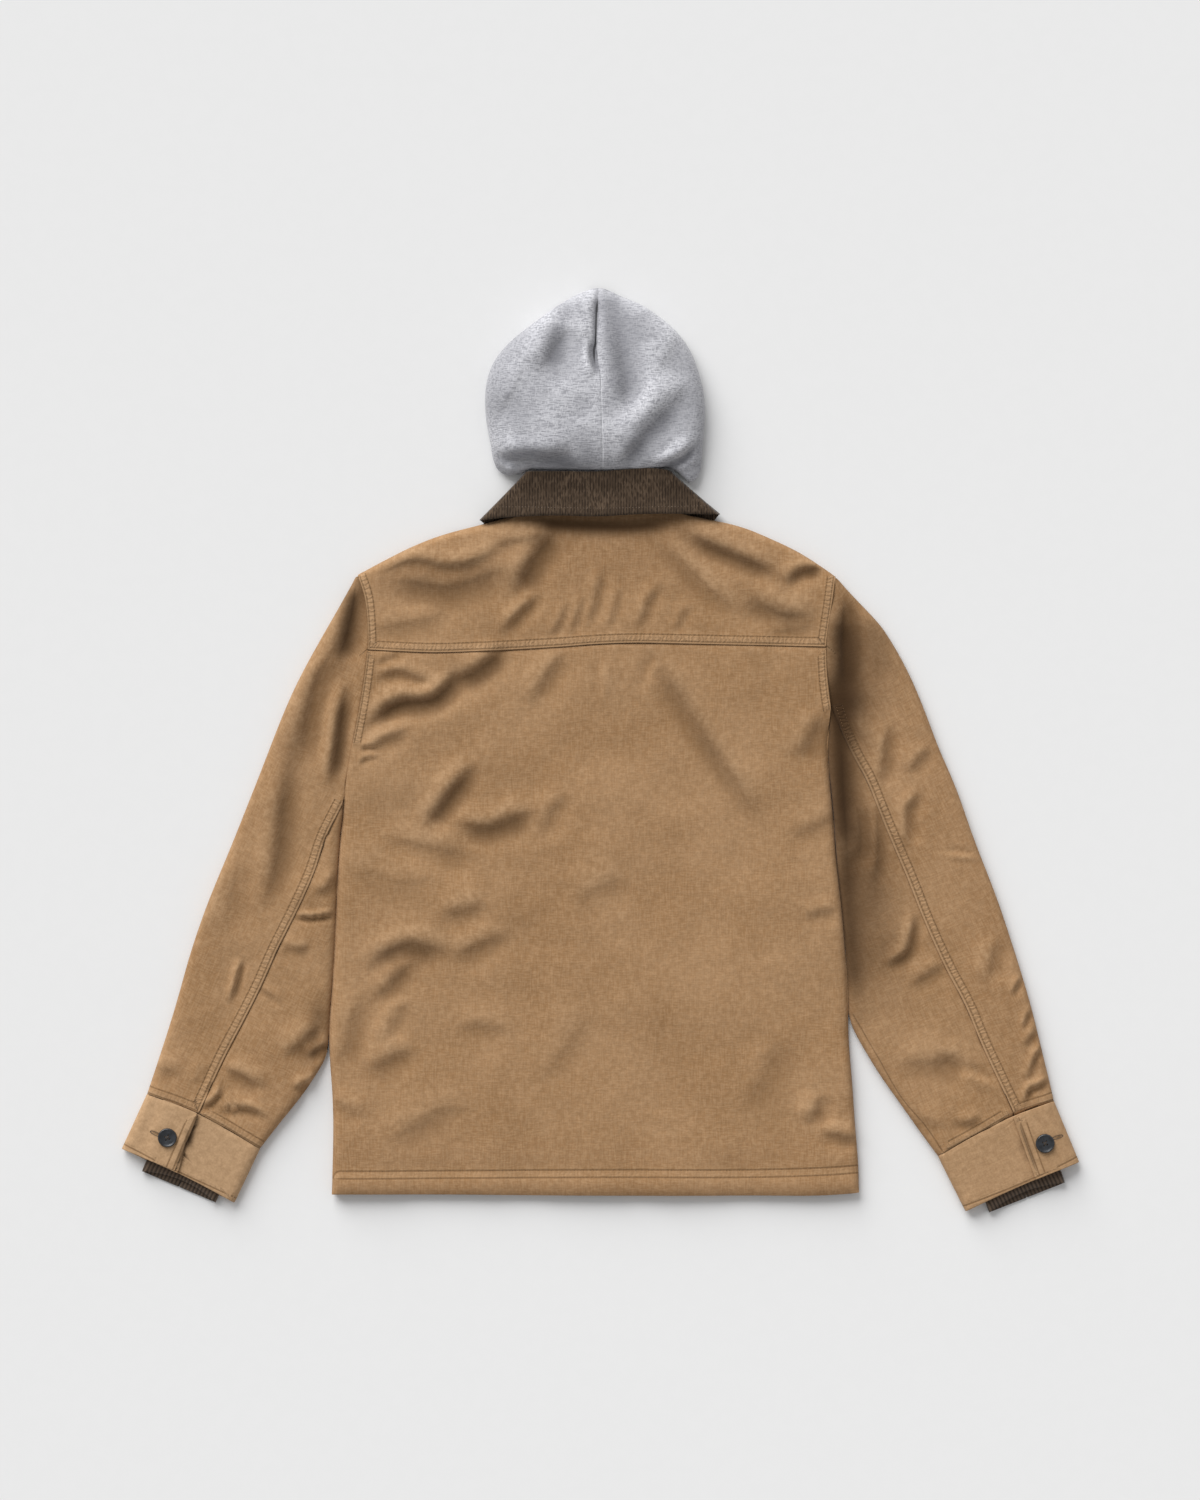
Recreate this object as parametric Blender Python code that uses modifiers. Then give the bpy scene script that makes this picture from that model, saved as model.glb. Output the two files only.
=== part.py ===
"""Hooded work jacket laid flat on its front, with its back up.

+X is the right of the view, +Y runs to the hood and +Z is up from the surface that the jacket lies on.
Every size in the tables is in millimetres. The origin is the middle of the outline, on the surface.
Each panel is a wall between an outer and an inner skin. Neighbours share their edge lines and the
height of the cloth, and stand SEAM apart.
"""
import math

import bpy
import bmesh
import numpy as np
from mathutils import Vector

MM = 0.001

# ---------------------------------------------------------------- driving sizes, mm
SEAM = 0.3            # gap between two sewn pieces
WALL = 4.5            # canvas, wadding and lining together
FRONT_WALL = 4.0      # the fronts are pressed a little flatter under the rest
LOFT = 12.0           # height of the laid body and sleeves
CROWN = 0.5           # extra height in the middle of the body
CROWN_SPREAD = (5.0, 265.0, 4)           # middle of the crown, half width and how flat it is on top
CROWN_ENDS = ((-466, -380), (90, 230))   # it rises above the hem and falls away under the yoke
EDGE_ROUND = 10.0     # how far in the top rounds over at a folded edge
UNDER_ROUND = 6.0     # the same below
LIP = 4.6             # height of the outermost line of a folded edge
CUFF_WALL = 3.0
CUFF_LOFT = 12.5
CUFF_LAP = 14.0       # the buttoned side lies this far over the other
RIB_WALL = 2.4
RIB_PITCH = 4.0
RIB_RISE = 0.7
HOOD_WALL = 3.0       # doubled fleece
COLLAR_WALL = 3.0
BUTTON_RADIUS = 10.0  # a 32-line coat button
BUTTON_HEIGHT = 3.2
BUTTON_HOLE = 1.1
BUTTON_HOLE_AT = 2.5  # distance of each hole from the button's middle
BUTTON_TURN = 63.0    # angle of its first hole, degrees
HOLLOW = 6.1          # height at which the two layers part inside a folded edge
HEM_ROUND = 6.0
HEM_EDGE = 2.2        # thickness left at the very end of the hem
FORE_SEAM = 24.0      # the sleeve's hidden seam lies this far in from its inner line
FORE_SEAM_ROWS = 4    # rows below the armpit over which it gets there
CUFF_BOW = 5.0        # the cuff seam's rise in the middle
BODY_WIDTH = 530.0    # widths that the columns' places are worked out for
YOKE_WIDTH = 490.0
FRONT_WIDTH = 265.0
BODY_COLUMNS = 16
FRONT_COLUMNS = 6
FREE_ROWS = 6
WIDEST_TURN = 0.7     # a folded edge takes up at most this share of a section's width above
WIDEST_UNDER = 0.5    # and this share below
EDGE_STEPS = (0.0, 0.12, 0.4, 1.0)
UNDER_STEPS = (0.3, 1.0)
NECK_TO_SHOULDER = (92, 112)   # from here out the shoulder line is a folded edge
ARMPIT_EASE = 24.0    # the side turns from a cut edge into a folded one over this length
LEAF_LIFT = 4.2       # the fronts rise over the collar's front leaves
LEAF_FOOT = (118, 140)         # the rise along the front
LEAF_SIDE = (124, 164)         # and its end towards the shoulder
LAP_RISE = CUFF_WALL + SEAM
LAP_LEVEL = 33.0      # the lapping end of a cuff is level this far from its edge
LAP_FOOT = 44.0       # and is down on its own layer here
LEAST_GAP = 0.5       # the two layers are never closer than this
ZIP_WIDTH = 6.0
ZIP_HEIGHT = 3.0
ZIP_BASE = 0.7        # the chain's underside above the surface
SLIDER_SIZE = (9.0, 11.0, 4.6)
SLIDER_AT = (0.0, 184.3, 6.5)
SLIDER_ROUND = 1.2

# ---------------------------------------------------------------- outline tables, mm
# height up the jacket, then the edge's distance from the middle line
ARMHOLE_LEFT = ((183, -254), (158, -246), (123, -243), (105, -243.5), (69, -248), (39, -253), (8, -259),
                (-32, -266), (-54, -268))
SIDE_LEFT = ((-54, -268), (-80, -271), (-113, -274), (-172, -277), (-219, -279), (-256, -281.5),
             (-289, -284), (-320, -284), (-359, -281), (-405, -280), (-442, -281), (-467, -281.5))
ARMHOLE_RIGHT = ((182, 247), (153, 243), (123, 238.5), (108, 237), (79, 238), (55, 240.5), (41, 243))
SIDE_RIGHT = ((41, 243), (23, 240), (3, 238.5), (-21, 240), (-51, 243), (-91, 246), (-116, 248),
              (-163, 253), (-219, 258), (-266, 260.5), (-287, 260.5), (-324, 262.5), (-350, 265),
              (-383, 267), (-432, 271), (-467, 272))
ARMPIT_LEFT = -54.0
ARMPIT_RIGHT = 41.0
# along the jacket's width, then the height of the line
SHOULDER_LINE = ((-254, 184), (-237, 193), (-195, 215), (-150, 230.5), (-126, 236), (-105, 241), (-92, 246),
                 (-80, 250), (-60, 253), (0, 254), (60, 253), (80, 250), (92, 246.5), (105, 243), (125, 240),
                 (146, 236), (171, 225), (213, 206), (247, 182))
YOKE_SEAM = ((-244, 105), (-177, 102), (-120, 103.5), (-70, 106), (36, 112), (90, 111), (143, 110),
             (238, 108))
HEM_LINE = ((-282, -466), (-165, -466), (-42, -467), (163, -467), (254, -466), (272, -464))
# the sleeves: the inner line's height, then the outer line's height on the same section
SLEEVE_RISE_LEFT = ((183, 182), (158, 168), (105, 122), (39, 62), (-54, -30), (-172, -140), (-256, -214),
                    (-320, -274), (-370, -318), (-418, -360))
SLEEVE_RISE_RIGHT = ((182, 181), (153, 165), (108, 122), (41, 70), (-51, -14), (-163, -118), (-224, -172),
                     (-285, -232), (-334, -280), (-399, -342), (-426, -368))
OUTER_LEFT = ((184, -255), (145, -277), (103, -301), (77, -315), (-32, -360), (-100, -387), (-163, -413),
              (-226, -434), (-252, -441), (-353, -473), (-362, -476))
OUTER_RIGHT = ((181, 248), (155, 272), (133, 293), (109, 309), (75, 327), (39, 342), (-1, 357), (-32, 371),
               (-94, 393), (-153, 416), (-210, 435), (-266, 452), (-332, 468), (-351, 473), (-370, 477))
INNER_LEFT = ((-320, -284.6), (-360, -310), (-397, -340), (-418, -356))
INNER_RIGHT = ((-287, 261.2), (-315, 277), (-334, 288), (-366, 311), (-399, 334), (-426, 354))
HIND_LEFT = ((-54, -268), (-92, -287), (-125, -298), (-149, -308), (-172, -319), (-210, -338), (-246, -354),
             (-280, -371), (-324, -394), (-374, -417), (-382, -421))
HIND_RIGHT = ((47, 244), (23, 252), (-5, 265), (-33, 280), (-65, 293), (-85, 301), (-134, 322), (-182, 341),
              (-228, 362), (-268, 383), (-313, 402), (-381, 434))

# the largest folds: two ends, half width and height of a soft ridge, or of a trough where it is negative
FOLDS = (
    # name                        x1    y1    x2    y2  width height
    ("yoke diagonal, left",      -58,  222, -100,  130,  13, -2.6),
    ("yoke diagonal ridge",      -40,  222,  -78,  125,  14,  2.2),
    ("shoulder fold, left",     -237,  188, -150,  178,  14,  2.4),
    ("shoulder fold, right",     152,  176,  214,  158,  14,  2.6),
    ("long diagonal, upper",      71,  222,  178,  124,  13,  2.8),
    ("long diagonal, lower",     178,  124,  210,   10,  15,  2.4),
    ("long diagonal trough",      92,  222,  200,  112,  12, -1.8),
    ("armhole swag, upper",     -238,   30, -214,   50,  12, -3.2),
    ("armhole swag, middle",    -214,   50, -187,   52,  12, -3.2),
    ("armhole swag, end",       -187,   52, -156,   78,  12, -3.0),
    ("armhole swag ridge",      -225,   14, -150,   40,  15,  3.4),
    ("under the yoke, left",    -128,   80, -100,  100,  13, -2.2),
    ("elbow-high wave, left",   -235,  -40, -100,  -20,  18,  2.2),
    ("left wave, first",        -168,  -22, -210,  -84,  14, -2.4),
    ("left wave, second",       -240, -138,  -42, -180,  17,  2.4),
    ("left wave, third",        -178, -216,  -84, -262,  16, -2.2),
    ("middle swell",            -100, -120,   60,  -60,  60,  1.6),
    ("right swell",              110, -190,  150, -330,  60,  1.4),
    ("hem dent, right",          210, -390,  243, -404,  16, -2.4),
    ("hem band",                -276, -453,  268, -453,  10,  1.8),
    ("hem stitching",           -276, -443,  268, -439,   5, -1.8),
    ("sleeve head, left",       -268,  126, -264,   52,   9, -3.0),
    ("sleeve trough, left",     -281,   63, -278,  -42,  10, -2.6),
    ("sleeve ridge, left",      -302,   70, -322,  -60,  16,  2.6),
    ("elbow crease, left",      -319, -172, -284, -172,   9, -3.0),
    ("elbow roll, left",        -322, -150, -286, -146,  11,  2.8),
    ("forearm trough, left",    -383, -226, -378, -258,  11, -2.4),
    ("forearm ridge, left",     -352, -300, -330, -370,  13,  2.4),
    ("sleeve head, right",       254,  120,  258,   58,   9, -3.4),
    ("sleeve trough, right",     264,    0,  268, -205,   9, -2.6),
    ("sleeve ridge, right",      300,   60,  345,  -60,  17,  2.8),
    ("sleeve curl, right",       282, -120,  304, -220,  12,  2.6),
    ("forearm ridge, right",     408, -240,  440, -330,  15,  2.2),
    ("forearm trough, right",    372, -305,  398, -350,  12, -2.2),
)
NECK_RISE = ((-70, 226), (70, 226), 48.0, 4.0)    # the yoke rises over the folded neck

# rows of the panels, as shares of their length. The fronts leave out the rows of the back's hem roll
HEM_ROLL_ROWS = 5
BACK_ROWS = (0.0, 0.008, 0.026, 0.042, 0.065, 0.108, 0.15, 0.192, 0.226, 0.26, 0.3, 0.34, 0.375, 0.415, 0.457,
             0.5, 0.545, 0.59, 0.635, 0.68, 0.722, 0.76, 0.8, 0.84, 0.882, 0.92, 0.96, 1.0)
YOKE_ROWS = (0.0, 0.1, 0.25, 0.42, 0.6, 0.78, 0.925, 0.97, 1.0)
FRONT_TOP = ((-254, 184), (-237, 193), (-195, 215), (-150, 230.5), (-126, 235.6), (-105, 238), (-92, 222),
             (-70, 200), (-40, 184), (0, 178), (40, 184), (70, 200), (92, 222), (105, 239.5), (125, 239),
             (146, 235.4), (171, 225), (213, 206), (247, 182))

# cuffs and inner cuffs
# side, lower outer corner, lower inner corner, slit above and below as shares from the outer line, bow below
CUFFS = {
    "left": (-1, (-502, -418), (-383, -475), 0.43, 0.49, 3.0),
    "right": (1, (503, -432), (383, -484), 0.345, 0.383, 2.0),
}
CUFF_ROWS = (0.0, 0.1, 0.36, 0.66, 0.9, 1.0)
CUFF_REACH = 8.0
CUFF_LAP_STEP = 4.0     # the lapped end's next points lie this far out of the lap
CUFF_LEAST_STEP = 0.5   # least distance between points where a cuff is narrow
# lower outer end, lower inner end, bow, and the way up the sleeve
RIBS = {
    "left": ((-481, -442), (-403, -475), 8.0, (0.385, 0.923)),
    "right": ((488, -454), (408, -485.5), 7.0, (-0.33, 0.944)),
}
RIB_ROWS = ((0.0, 0.0), (1.2, 0.0), (4.4, 3.3), (14.0, 3.3), (66.0, 3.3))    # way up the sleeve, underside
RIB_LOFT = 8.5
RIB_REACH = 4.0
BUTTONS = {"left": (-453, -406), "right": (466, -412)}

# outline of a button from its middle above, round the rim, to its middle below: shares of radius and height
BUTTON_PROFILE = ((0, 0.66), (0.68, 0.66), (0.8, 0.94), (0.92, 1), (1, 0.8), (1, 0.3), (0.9, 0), (0, 0))
# heights up the jacket of the zip's rows, close together where it rises over the collar
ZIP_ROWS = (-463, -350, -238, -125, -13, 100, 118, 124, 129, 134, 140, 158, 178.3)

# collar
# From the middle of the back round the neck to the front end, mid-line points (x, y, z): the neck seam,
# the fold, the free edge; then the way the fall faces (x, z)
COLLAR_LEFT = (
    # place          seam               fold                  edge                  faces
    ("centre back", (0, 256.2, 13.9),   (0, 289, 16.35),      (-1, 244, 17.6),      (0, 1)),
    ("back",        (-42, 255.6, 13.9), (-42, 289.5, 16.35),  (-46, 245.5, 17.6),   (0, 1)),
    ("back corner", (-70, 255.4, 13.7), (-70, 289.6, 16.0),   (-92, 244, 16.9),     (-0.15, 1)),
    ("side above",  (-80, 255, 12.2),   (-75.4, 289.4, 14.2), (-118, 241.4, 14.6),  (-0.7, 0.7)),
    ("side",        (-82.4, 255, 9.8),  (-76.4, 289, 9.8),    (-125, 240.6, 9.4),   (-1, 0)),
    ("side below",  (-80, 252, 7.2),    (-75.4, 287.6, 5.2),  (-124, 240.2, 4.4),   (-0.7, -0.7)),
    ("front corner", (-80.4, 236, 5.4), (-70, 278, 3.6),      (-112, 226, 1.8),     (-0.12, -1)),
    ("front",       (-72.6, 209.5, 4.9), (-52, 243, 3.25),    (-92, 188, 1.8),      (0, -1)),
    ("front end",   (-9, 183, 4.8),     (-9, 212, 3.25),      (-50, 150, 1.8),      (0, -1)),
)
COLLAR_RIGHT = (
    ("centre back", (0, 256.2, 13.9),   (0, 289, 16.35),      (-1, 244, 17.6),      (0, 1)),
    ("back",        (40, 255.6, 13.9),  (42, 292.5, 16.35),   (44, 247, 17.6),      (0, 1)),
    ("back corner", (68, 255.4, 13.7),  (66, 292, 16.0),      (90, 247.2, 16.9),    (0.15, 1)),
    ("side above",  (78, 255.4, 12.2),  (72, 290.4, 14.2),    (118, 246.6, 14.6),   (0.7, 0.7)),
    ("side",        (80.4, 255.4, 9.8), (73.4, 290, 9.8),     (124.4, 246.6, 9.4),  (1, 0)),
    ("side below",  (78, 253, 7.2),     (72.4, 288.4, 5.2),   (123.4, 246, 4.4),    (0.7, -0.7)),
    ("front corner", (80.4, 238, 5.4),  (68, 279, 3.6),       (112, 228, 1.8),      (0.12, -1)),
    ("front",       (72.6, 209.5, 4.9), (52, 243, 3.25),      (92, 188, 1.8),       (0, -1)),
    ("front end",   (9, 183, 4.8),      (9, 212, 3.25),       (50, 150, 1.8),       (0, -1)),
)
COLLAR_BETWEEN = 2
FOLD_ANGLES = (-90, -45, 0, 45, 90)
FALL_STEPS = (0.35, 0.7, 1.0)

# hood
# height up the jacket of the outer skin, how much lower or higher the inner one is, left and right edges,
# middle seam, top, underside
HOOD_SECTIONS = (
    # y     inner  left    right  seam   top   under
    (484.5, -3.0,  -20.0,   15.0,  -2.0, 13.0,  5.0),
    (482.0, -2.4,  -27.0,   21.0,  -2.2, 17.5,  3.0),
    (476.0, -1.6,  -34.0,   32.0,  -2.4, 24.0,  1.0),
    (466.0, -0.8,  -45.0,   46.0,  -2.8, 30.0,  0.0),
    (452.0,  0.0,  -64.0,   67.0,  -3.4, 35.0,  0.0),
    (436.0,  0.0,  -86.0,   84.5,  -3.8, 38.5,  0.0),
    (418.0,  0.0, -106.0,   97.0,  -3.0, 40.5,  0.0),
    (398.0,  0.0, -117.5,  104.0,  -1.0, 41.5,  0.0),
    (378.0,  0.0, -121.5,  109.5,   1.0, 42.0,  0.0),
    (358.0,  0.0, -122.0,  111.5,   2.0, 42.0,  0.0),
    (338.0,  0.0, -119.8,  110.5,   2.4, 41.0,  0.0),
    (322.0,  0.0, -115.5,  108.5,   2.7, 38.5,  0.0),
    (310.0,  0.6, -111.0,  106.0,   2.9, 33.5,  0.0),
    (302.0,  1.8, -105.0,  101.0,   3.0, 26.0,  1.0),
    (298.6,  3.0,  -94.0,   90.0,   3.0, 18.0,  4.0),
    (297.4,  3.0,  -68.0,   66.0,   3.0, 12.6,  6.4),
    (288.0,  0.0,  -66.0,   64.0,   3.0, 12.6,  6.4),
    (276.0,  0.0,  -64.0,   62.0,   3.0, 12.6,  6.4),
)
HOOD_FOLDS = (
    # name                     x1    y1    x2    y2  width height
    ("seam groove",            -3,  482,   -4,  412,   7, -4.0),
    ("tuck by the seam",      -12,  430,   -6,  392,   8, -3.0),
    ("left hollow",           -50,  424,  -40,  376,  17, -4.5),
    ("right trough",           12,  462,   24,  362,  12, -5.0),
    ("diagonal trough",        80,  368,   30,  304,  14, -5.0),
    ("left brow",             -78,  400, -104,  350,  20,  2.0),
    ("right brow",             56,  430,   70,  380,  22,  2.0),
    ("left bottom fold",     -100,  310,  -44,  302,   9, -4.0),
    ("right bottom fold",      98,  318,   60,  300,   9, -4.0),
)
HOOD_REACH = 78.0
HOOD_UNDER = 16.0
HOOD_TURNED = 42.0    # cloth turned under beside the face opening
HOOD_STEPS = (1.0, 0.86, 0.72, 0.58, 0.45, 0.33, 0.22, 0.12, 0.05, 0.0)
HOOD_UNDER_STEPS = (0.15, 0.5, 1.0)
HOOD_LIP = 0.36       # its outermost line is at this share of its height
HOOD_NECK = 8.0       # sections no higher than this are its flat neck
HOOD_FOLDS_FROM = (14, 30)    # the folds fade out where the hood is lower

TAN = (0.40, 0.24, 0.12)
TAN_SHADE = (0.35, 0.21, 0.10)
BROWN = (0.065, 0.045, 0.032)
GREY = (0.38, 0.38, 0.42)
DARK = (0.03, 0.033, 0.038)
METAL = (0.35, 0.32, 0.27)


# ---------------------------------------------------------------- curves and heights
def along(table, value):
    """Read a smooth curve through a table of (place, height) rows at a place."""
    rows = np.array(sorted((row[0], row[1]) for row in table), float)
    place, height = rows[:, 0], rows[:, 1]
    value = float(min(max(value, place[0]), place[-1]))
    step = int(min(max(np.searchsorted(place, value) - 1, 0), len(place) - 2))
    slopes = np.diff(height) / np.diff(place)
    inner = (slopes[:-1] * np.diff(place)[1:] + slopes[1:] * np.diff(place)[:-1])
    inner = inner / (place[2:] - place[:-2]) if len(place) > 2 else inner
    tangent = np.concatenate([slopes[:1], inner, slopes[-1:]])
    length = place[step + 1] - place[step]
    t = (value - place[step]) / length
    return float((2 * t ** 3 - 3 * t ** 2 + 1) * height[step]
                 + (t ** 3 - 2 * t ** 2 + t) * length * tangent[step]
                 + (3 * t ** 2 - 2 * t ** 3) * height[step + 1]
                 + (t ** 3 - t ** 2) * length * tangent[step + 1])


def ramp(value, start, end):
    """0 before start, 1 past end, and smooth between."""
    t = min(max((value - start) / (end - start), 0.0), 1.0)
    return t * t * (3 - 2 * t)


def bump(x, y, end_a, end_b, width):
    """1 on the line between two ends, falling away softly on both sides."""
    ax, ay = end_a
    bx, by = end_b
    run = (bx - ax) ** 2 + (by - ay) ** 2
    t = min(max(((x - ax) * (bx - ax) + (y - ay) * (by - ay)) / run, 0.0), 1.0)
    away = math.hypot(x - ax - t * (bx - ax), y - ay - t * (by - ay))
    return math.exp(-(away / width) ** 2)


def leaf_lift(x, y):
    """How far the fronts rise over the collar's front leaves."""
    return LEAF_LIFT * ramp(y, *LEAF_FOOT) * (1 - ramp(abs(x), *LEAF_SIDE))


def cloth_top(x, y):
    """The height of the laid body and sleeves, folds included."""
    middle, half, flatness = CROWN_SPREAD
    crown = max(0.0, 1 - ((x + middle) / half) ** flatness)
    height = LOFT + CROWN * crown * ramp(y, *CROWN_ENDS[0]) * (1 - ramp(y, *CROWN_ENDS[1]))
    for _name, x1, y1, x2, y2, width, rise in FOLDS:
        height += rise * bump(x, y, (x1, y1), (x2, y2), width)
    start, end, width, rise = NECK_RISE
    height += rise * bump(x, y, start, end, width)
    return max(height, 2 * WALL + LEAST_GAP + leaf_lift(x, y))


def round_over(distance, reach):
    """A quarter round: 0 at the edge and 1 past its reach."""
    t = min(max(distance / reach, 0.0), 1.0)
    return math.sqrt(1 - (1 - t) ** 2)


def edge_turn(distance, rounded, reach):
    """How far the cloth has come round a folded edge, from 0 on the edge to 1 past its reach."""
    return 1 - rounded * (1 - round_over(distance, reach))


def edge_shift(distance, rounded, reach, wall):
    """How far in from the outer skin the inner one lies, close to a folded edge."""
    return rounded * wall * max(0.0, 1 - distance / reach)


def upper_pair(height, turn, wall, lip, hollow):
    """Heights of the outer and inner skins of the layer above."""
    return lip + (height - lip) * turn, hollow + (height - wall - hollow) * turn


def lower_pair(base, outer_turn, inner_turn, wall, lip, hollow):
    """Heights of the outer and inner skins of the layer below."""
    outer = base + (lip - base) * (1 - outer_turn)
    return outer, base + wall + (hollow - base - wall) * (1 - inner_turn)


# ---------------------------------------------------------------- making meshes
def make_material(name, colour, roughness, metallic=0.0):
    material = bpy.data.materials.new(name)
    material.use_nodes = True
    shader = material.node_tree.nodes["Principled BSDF"]
    shader.inputs["Base Color"].default_value = (*colour, 1.0)
    shader.inputs["Roughness"].default_value = roughness
    shader.inputs["Metallic"].default_value = metallic
    return material


def make_object(name, points, faces, material, collection, smooth=True):
    mesh = bpy.data.meshes.new(name)
    mesh.from_pydata([tuple(float(c) * MM for c in p) for p in points], [], faces)
    shape = bmesh.new()
    shape.from_mesh(mesh)
    bmesh.ops.recalc_face_normals(shape, faces=shape.faces)
    if shape.calc_volume(signed=True) < 0:
        bmesh.ops.reverse_faces(shape, faces=shape.faces)
    shape.to_mesh(mesh)
    shape.free()
    if smooth:
        mesh.shade_smooth()
        mesh.set_sharp_from_angle(angle=math.radians(50))
    mesh.materials.append(material)
    made = bpy.data.objects.new(name, mesh)
    collection.objects.link(made)
    return made


def make_wall(name, outer, inner, material, collection):
    """One closed wall between two grids of points with the same rows and columns."""
    rows, columns = len(outer), len(outer[0])
    points = [p for row in outer for p in row] + [p for row in inner for p in row]
    back = rows * columns

    def at(row, column):
        return row * columns + column

    faces = []
    for row in range(rows - 1):
        for column in range(columns - 1):
            quad = (at(row, column), at(row, column + 1), at(row + 1, column + 1), at(row + 1, column))
            faces.append(quad)
            faces.append(tuple(back + corner for corner in reversed(quad)))
    rim = [at(0, c) for c in range(columns)] + [at(r, columns - 1) for r in range(1, rows)]
    rim += [at(rows - 1, c) for c in range(columns - 2, -1, -1)] + [at(r, 0) for r in range(rows - 2, 0, -1)]
    for place, corner in enumerate(rim):
        following = rim[(place + 1) % len(rim)]
        faces.append((following, corner, back + corner, back + following))
    return make_object(name, points, faces, material, collection)


# ---------------------------------------------------------------- the body
def side_x(y, side):
    """The body's edge at a height: the armhole above the armpit and the side seam below it."""
    if side < 0:
        table = ARMHOLE_LEFT if y > ARMPIT_LEFT else SIDE_LEFT
    else:
        table = ARMHOLE_RIGHT if y > ARMPIT_RIGHT else SIDE_RIGHT
    return along(table, y)


def side_rounded(y, side):
    """1 where the side is a folded edge, and 0 where it is cut and sewn to the sleeve."""
    armpit = ARMPIT_LEFT if side < 0 else ARMPIT_RIGHT
    return 1 - ramp(y, armpit - ARMPIT_EASE, armpit)


def body_point(u, v, low, high, edges):
    """A place in the body: u from one edge to the other, v between two lines across."""
    y = along(low, 0) + v * (along(high, 0) - along(low, 0))
    for _turn in range(8):
        left, right = edges(y)
        x = left + u * (right - left)
        y = along(low, x) + v * (along(high, x) - along(low, x))
    return x, y, left, right


def whole_width(y):
    return side_x(y, -1) + SEAM / 2, side_x(y, 1) - SEAM / 2


def left_width(y):
    return side_x(y, -1) + SEAM / 2, -ZIP_WIDTH / 2 - SEAM


def right_width(y):
    return ZIP_WIDTH / 2 + SEAM, side_x(y, 1) - SEAM / 2


def edge_places(width, reach=EDGE_ROUND):
    return [reach * step / width for step in EDGE_STEPS]


def body_columns(count, width):
    """Column places across the body, close together at the folded edges."""
    edge = edge_places(width)
    middle = list(np.linspace(edge[-1], 1 - edge[-1], count + 2))[1:-1]
    return edge + middle + [1 - e for e in reversed(edge)]


def build_back_panel(material, collection):
    outer, inner = [], []
    for v in BACK_ROWS:
        outer_row, inner_row = [], []
        for u in body_columns(BODY_COLUMNS, BODY_WIDTH):
            x, y, left, right = body_point(u, v, HEM_LINE, YOKE_SEAM, whole_width)
            side = -1 if u < 0.5 else 1
            distance = (x - left) if side < 0 else (right - x)
            rounded = side_rounded(y, side)
            turn = edge_turn(distance, rounded, EDGE_ROUND)
            high, low = upper_pair(cloth_top(x, y), turn, WALL, LIP, HOLLOW)
            hem = round_over(y - along(HEM_LINE, x), HEM_ROUND)
            high = low + HEM_EDGE + (high - low - HEM_EDGE) * hem
            shift = edge_shift(distance, rounded, EDGE_ROUND, WALL)
            y -= SEAM / 2 * v
            outer_row.append((x, y, high + SEAM / 2))
            inner_row.append((x - side * shift, y, low + SEAM / 2))
        outer.append(outer_row)
        inner.append(inner_row)
    return make_wall("back_panel", outer, inner, material, collection)


def build_yoke(material, collection):
    outer, inner = [], []
    for v in YOKE_ROWS:
        outer_row, inner_row = [], []
        for u in body_columns(BODY_COLUMNS, YOKE_WIDTH):
            x, y, _left, _right = body_point(u, v, YOKE_SEAM, SHOULDER_LINE, whole_width)
            distance = along(SHOULDER_LINE, x) - y
            rounded = ramp(abs(x), *NECK_TO_SHOULDER)
            turn = edge_turn(distance, rounded, EDGE_ROUND)
            high, low = upper_pair(cloth_top(x, y), turn, WALL, LIP, HOLLOW)
            y += SEAM / 2 * (1 - v)
            shift = edge_shift(distance, rounded, EDGE_ROUND, WALL)
            outer_row.append((x, y, high + SEAM / 2))
            near, far = whole_width(y - shift)
            inner_row.append((min(max(x, near), far), y - shift, low + SEAM / 2))
        outer.append(outer_row)
        inner.append(inner_row)
    return make_wall("back_yoke", outer, inner, material, collection)


def front_rows(side):
    """Rows of a front at the same heights on the side as those of the back and the yoke."""
    u = 0 if side < 0 else 1
    back_rows = BACK_ROWS[:1] + BACK_ROWS[HEM_ROLL_ROWS:]
    places = [body_point(u, v, HEM_LINE, YOKE_SEAM, whole_width) for v in back_rows]
    places += [body_point(u, v, YOKE_SEAM, SHOULDER_LINE, whole_width) for v in YOKE_ROWS[1:]]
    rows = []
    for x, y, _left, _right in places:
        low, high = along(HEM_LINE, x), along(FRONT_TOP, x)
        rows.append(min(max((y - low) / (high - low), 0.0), 1.0))
    return rows


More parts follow.
